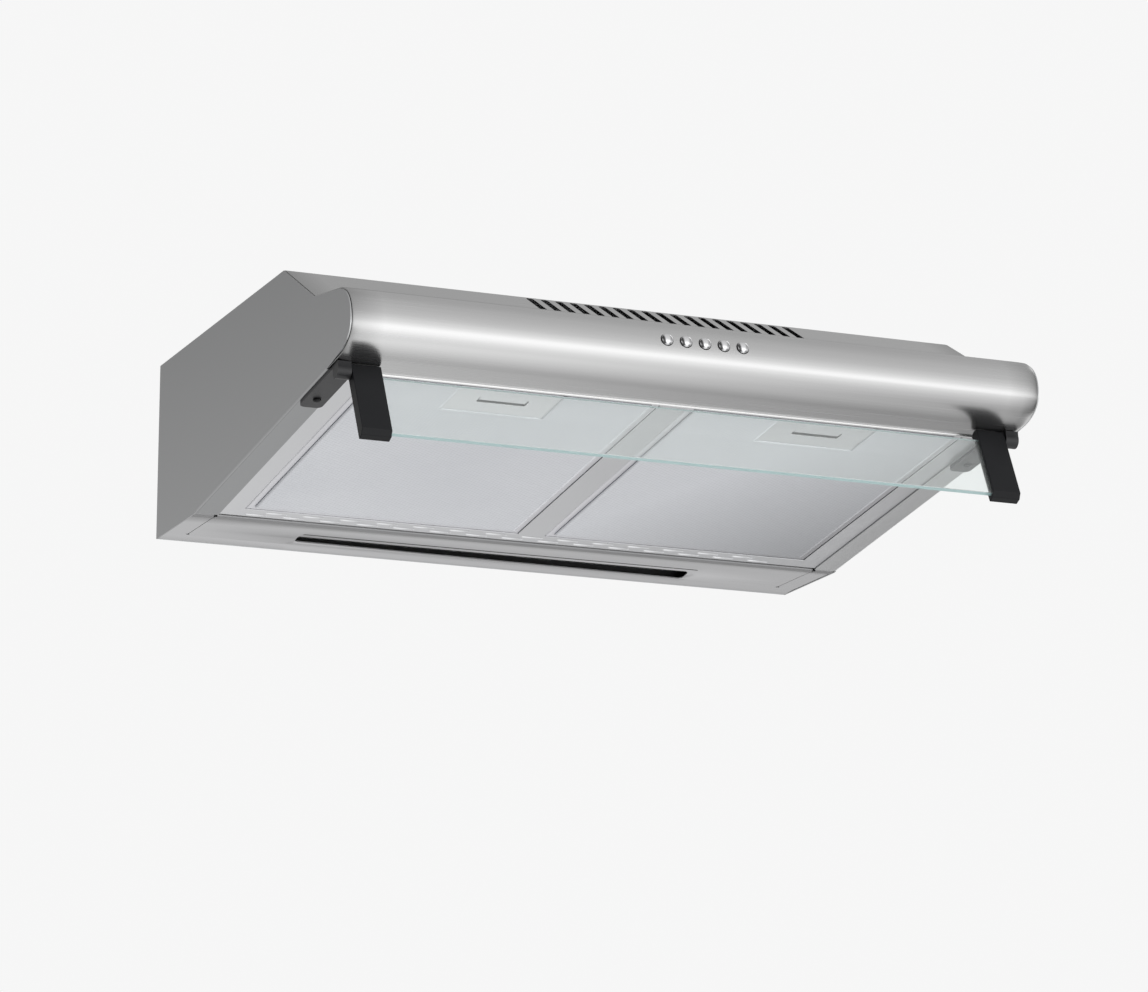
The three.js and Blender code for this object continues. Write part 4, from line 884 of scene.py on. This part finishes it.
pane_half, half_thick = ARM_X[0] + GLASS_BITE, GLASS_THICK / 2
low, high = GLASS_Z
pane_outline = [(-half_thick, low), (half_thick, low), (half_thick, high), (-half_thick, high)]
pane = build("visor_pane", VISOR, add_prism, pane_outline, (-pane_half, pane_half), "X")
place(pane, "visor", pane_glass, ["visor_glass"], 0.5, 3)
pane.visible_glossy = False
pane.data.materials.append(pane_edge)
for polygon in pane.data.polygons:
    if abs((VISOR.to_3x3().normalized().inverted() @ polygon.normal).y) < 0.5:
        polygon.material_index = 1

# ---- buttons

button_profile = [(0.0, STEM_END), (STEM_RADIUS, STEM_END), (STEM_RADIUS, CAP_END),
                  (BUTTON_RADIUS - 0.3, CAP_END), (BUTTON_RADIUS, CAP_END + 0.3)]
button_profile += [(BUTTON_RADIUS * math.cos(a), BUTTON_EDGE + (BUTTON_PROUD - BUTTON_EDGE) * math.sin(a))
                   for a in (math.pi / 2 * k / 14 for k in range(14))]
button_profile += [(0.0, BUTTON_PROUD)]
for index, name in enumerate(BUTTONS):
    cap = build("cap_" + name, CONTROLS, add_turned, button_profile, 48, ((index - 2) * BUTTON_PITCH, 0.0))
    place(cap, name, chrome, [name], angle=40.0)

# ---- duct collar

base = HEIGHT + GAP
outside = COLLAR_INNER + COLLAR_WALL
collar = build("collar_ring", OUTLET, add_turned, [
    (COLLAR_LEDGE, COLLAR_LEDGE_Z[0]), (COLLAR_INNER, COLLAR_LEDGE_Z[0]), (COLLAR_INNER, base),
    (COLLAR_FLANGE - 0.3, base), (COLLAR_FLANGE, base + 0.3), (COLLAR_FLANGE, base + 1.5),
    (COLLAR_FLANGE - 0.4, base + 1.8), (outside + 2.0, base + 1.8), (outside + 0.6, base + 2.4),
    (outside, base + 3.8), (outside, 172.0), (outside - 0.35, 172.6), (outside - 0.35, 173.8),
    (outside, 174.4), (outside, COLLAR_TOP - 1.2), (outside - 0.4, COLLAR_TOP - 0.3),
    (outside - 1.0, COLLAR_TOP),
    (COLLAR_INNER + 0.4, COLLAR_TOP), (COLLAR_INNER, COLLAR_TOP - 0.5), (COLLAR_INNER, COLLAR_LEDGE_Z[1]),
    (COLLAR_LEDGE, COLLAR_LEDGE_Z[1])], 128)
ears = bmesh.new()
for side_sign in (-1, 1):
    add_box(ears, (-4.0, 4.0), mirrored(side_sign, 53.5, COLLAR_INNER + 1), (160.0, 166.7))
boolean(collar, [new_object("ears", ears, OUTLET)], "UNION")
screw_holes = bmesh.new()
hole = [(0, 154), (COLLAR_SCREW_RADIUS, 154), (COLLAR_SCREW_RADIUS, 159), (0, 159)]
for angle in (math.radians(degrees) for degrees in (45, 135, 225, 315)):
    spot = (COLLAR_SCREWS * math.cos(angle), COLLAR_SCREWS * math.sin(angle))
    add_turned(screw_holes, hole, 20, spot)
pin_bore = build("pin_bore", OUTLET @ Matrix.Rotation(math.pi / 2, 4, "Z"), add_rod, 0.0, FLAP_PIN_Z,
                 FLAP_PIN_RADIUS, (-57.0, 57.0), 20)
boolean(collar, [new_object("screw_tool", screw_holes, OUTLET), pin_bore])
place(collar, "casing", black, ["duct_collar"], angle=35.0)

# ---- pieces kept from the frame

KEPT = (  # material, rounding of the edges, and nodes
    (steel_flat, 0.3, ["top_panel"]),
    (zinc, 0.3, ["back_panel", "scroll_housing", "scroll_cover", "motor_bracket", "capacitor_clip"]),
    (black_steel, 0.15, ["hinge_screw_left", "hinge_screw_right"]),
    (bright, 0.15, ["hinge_pin_left", "hinge_pin_right", "flap_pin", "motor_shaft", "latch_spring_left",
                    "latch_spring_right", *(f"collar_screw_{i}" for i in range(1, 5))]),
    (plate_alu, 0.25, ["filter_latch_left", "filter_latch_right"]),
    (black, 0.4, ["cable_gland", "gland_nut"]),
    (dark_inside, 0.3, ["lamp_tray"]),
    (grey, 0.3, ["switch_block", "fan_wheel", "flap_left", "flap_right", "terminal_box", "terminal_cover"]),
    (white, 0.5, ["lamp_socket_left", "lamp_socket_right", "run_capacitor"]),
    (paint, 0.6, ["motor"]),
    (tube_glass, 0.6, ["lamp_tube"]),
    (cover_glass, 0.3, ["lamp_cover"]),
)
FLAT_SHEETS = ("top_panel", "back_panel", "lamp_tray", "lamp_cover", "terminal_box", "terminal_cover",
               "switch_block", "motor_bracket", "capacitor_clip", "scroll_cover", "flap_left", "flap_right",
               "filter_latch_left", "filter_latch_right", "lamp_socket_left", "lamp_socket_right")
KEPT_ANGLE = math.radians(35)  # an edge sharper than this is rounded
for material, width, names in KEPT:
    for name in names:
        kept, smooth = nodes[name], name not in FLAT_SHEETS
        kept.data.materials.clear()
        kept.data.materials.append(material)
        weld = kept.modifiers.new("weld", "WELD")
        weld.merge_threshold = 0.00001
        bevel = kept.modifiers.new("edges", "BEVEL")
        bevel.width, bevel.segments = width * 0.001, 2
        bevel.limit_method, bevel.angle_limit = "ANGLE", KEPT_ANGLE
        bevel.harden_normals = smooth
        kept.data.normals_split_custom_set([(0.0, 0.0, 0.0)] * len(kept.data.loops))  # none of its own
        for polygon in kept.data.polygons:
            polygon.use_smooth = smooth
        if smooth:
            kept.data.set_sharp_from_angle(angle=KEPT_ANGLE)

# ---- floor, light and camera

floor_mesh = bmesh.new()
bmesh.ops.create_grid(floor_mesh, x_segments=8, y_segments=8, size=40.0)
floor = new_object("floor", floor_mesh, Matrix.Translation((0, 0, -4.6)))
floor_paint = surface("floor_paint", (0.84, 0.84, 0.845), 0.7, grain=60, blotch=0.6,
                      spread=0.012, bump=0.02)
floor.data.materials.append(floor_paint)
floor.visible_glossy = False
floor.visible_diffuse = False
floor.visible_shadow = False
floor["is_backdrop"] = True

ENVIRONMENT = [  # elevation round the X axis in degrees, 0 in front and 90 overhead, and brightness
    (-180, 0.60), (-165, 0.73), (-158, 0.85), (-149, 0.90), (-140, 0.78), (-132, 0.68), (-125, 0.70),
    (-119, 0.78), (-108, 0.98), (-95, 1.18), (-79, 1.36), (-70, 1.22), (-60, 1.22), (-49, 1.30), (-37, 1.48),
    (-25, 1.66), (-11, 1.74), (2, 1.66), (12, 1.48), (18, 1.26), (24, 1.06), (31, 0.90), (40, 0.81),
    (56, 0.74), (74, 0.69), (91, 0.63), (105, 0.57), (126, 0.52), (150, 0.52), (180, 0.60),
]
BRIGHTEST = 2.0  # the ramp's full scale, since a ramp's colours end at 1


def make_world():
    """A studio whose brightness depends on direction, and a plain backdrop for what the camera sees."""
    world = bpy.data.worlds.new("studio")
    bpy.context.scene.world = world
    world.use_nodes = True
    tree = world.node_tree
    tree.nodes.clear()

    def times(first, second):
        return math_node(tree, "MULTIPLY", first, second)

    def plus(first, second):
        return math_node(tree, "ADD", first, second)

    def rest_of(share):
        return math_node(tree, "SUBTRACT", 1.0, share)

    def rising(value, start, end, share=1.0):
        return ranged(tree, value, 0.0, share, start, end)

    def falling(value, start, end, share=1.0):
        return ranged(tree, value, share, 0.0, start, end)

    output = tree.nodes.new("ShaderNodeOutputWorld")
    direction = tree.nodes.new("ShaderNodeTexCoord")
    split = tree.nodes.new("ShaderNodeSeparateXYZ")
    tree.links.new(direction.outputs["Generated"], split.inputs["Vector"])
    x, y, z = split.outputs
    angle = math_node(tree, "ARCTAN2", z, times(y, -1.0))
    ramp = tree.nodes.new("ShaderNodeValToRGB")
    elements = ramp.color_ramp.elements
    while len(elements) < len(ENVIRONMENT):
        elements.new(0.5)
    for element, (degrees, value) in zip(elements, ENVIRONMENT):
        element.position = (degrees + 180) / 360
        element.color = (*(value / BRIGHTEST,) * 3, 1)
    tree.links.new(rising(angle, -math.pi, math.pi), ramp.inputs["Fac"])
    level = times(ramp.outputs["Color"], BRIGHTEST)

    behind_right = times(rising(x, 0.29, 0.50, 0.8), falling(z, -0.36, -0.26))
    below_right = times(rising(x, 0.36, 0.465), falling(z, -0.30, -0.15))
    below_right = times(below_right, ranged(tree, y, 0.42, 0.75, -0.45, -0.10))
    below_right = times(below_right, ranged(tree, y, 1.0, 0.56, 0.10, 0.40))
    back_share = rising(y, 0.55, 0.68)
    right_loss = plus(times(behind_right, back_share), times(below_right, rest_of(back_share)))
    middle = times(falling(x, 0.06, 0.24), falling(z, -0.6, -0.3))
    behind_left = times(falling(x, -0.42, 0.1), rising(y, 0.2, 0.7))
    flag = times(falling(x, -0.40, -0.15, 0.85), falling(y, 0.3, 0.6))
    left_front = times(falling(x, -0.55, -0.40, 0.45), falling(y, -0.1, 0.2))
    side = times(rising(x, 0.5, 0.75, 0.45), falling(y, 0.0, 0.2))
    behind = times(times(rising(y, 0.72, 0.84), rising(z, -0.20, -0.02)), rising(x, 0.15, 0.30, 0.75))
    for loss in (right_loss, times(middle, 0.25), times(behind_left, 0.32), flag, left_front, side, behind):
        level = times(level, rest_of(loss))
    rim = times(rising(x, 0.52, 0.6), rising(y, 0.1, 0.3))
    level = plus(level, times(rim, 0.9))
    pole = rising(math_node(tree, "ABSOLUTE", x), 0.86, 0.99)  # the ramp would pinch together here
    level = plus(times(level, rest_of(pole)), times(pole, 0.6))

    light = tree.nodes.new("ShaderNodeBackground")
    tree.links.new(level, light.inputs["Strength"])
    light.inputs["Color"].default_value = (1.0, 1.0, 1.0, 1.0)
    seen = tree.nodes.new("ShaderNodeBackground")
    seen.inputs["Color"].default_value = (0.925, 0.925, 0.925, 1.0)
    path = tree.nodes.new("ShaderNodeLightPath")
    through = times(path.outputs["Is Transmission Ray"], falling(path.outputs["Glossy Depth"], 0.0, 0.5))
    mix = tree.nodes.new("ShaderNodeMixShader")
    tree.links.new(math_node(tree, "MAXIMUM", path.outputs["Is Camera Ray"], through), mix.inputs["Fac"])
    tree.links.new(light.outputs["Background"], mix.inputs[1])
    tree.links.new(seen.outputs["Background"], mix.inputs[2])
    tree.links.new(mix.outputs["Shader"], output.inputs["Surface"])


make_world()


def softbox(name, spot, size, power):
    lamp = bpy.data.lights.new(name, "AREA")
    lamp.shape, lamp.size, lamp.energy = "SQUARE", size, power
    holder = bpy.data.objects.new(name, lamp)
    holder.location = spot
    holder.rotation_euler = (Vector((0, -0.25, 0)) - Vector(spot)).to_track_quat("-Z", "Y").to_euler()
    holder.visible_glossy = False
    bpy.context.scene.collection.objects.link(holder)


softbox("key_light", (-2.6, -3.4, 2.4), 2.4, 60.0)
softbox("fill_light", (2.8, -2.6, -1.8), 2.6, 24.0)

scene = bpy.context.scene
scene.view_settings.view_transform = "Standard"
VIEW_ANGLES = (-22.31, -13.07, 0.18)  # azimuth, elevation and roll in degrees, as in the photo
CAMERA_SPOT, FOCAL_LENGTH = (-1.45624, -3.77128, -0.94991), 145.59
azimuth, elevation, roll = (math.radians(a) for a in VIEW_ANGLES)
flat = math.cos(elevation)
back = Vector((math.sin(azimuth) * flat, -math.cos(azimuth) * flat, math.sin(elevation)))
level_right = Vector((0, 0, 1)).cross(back).normalized()
level_up = back.cross(level_right)
right = level_right * math.cos(roll) + level_up * math.sin(roll)
up = back.cross(right)
lens = bpy.data.cameras.new("camera")
lens.lens, lens.sensor_width = FOCAL_LENGTH, 36.0
lens.clip_start, lens.clip_end = 0.1, 200.0
camera = bpy.data.objects.new("camera", lens)
turn = Matrix((right, up, back)).transposed().to_4x4()
camera.matrix_world = Matrix.Translation(CAMERA_SPOT) @ turn
scene.collection.objects.link(camera)
scene.camera = camera

bpy.context.view_layer.update()
low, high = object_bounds()
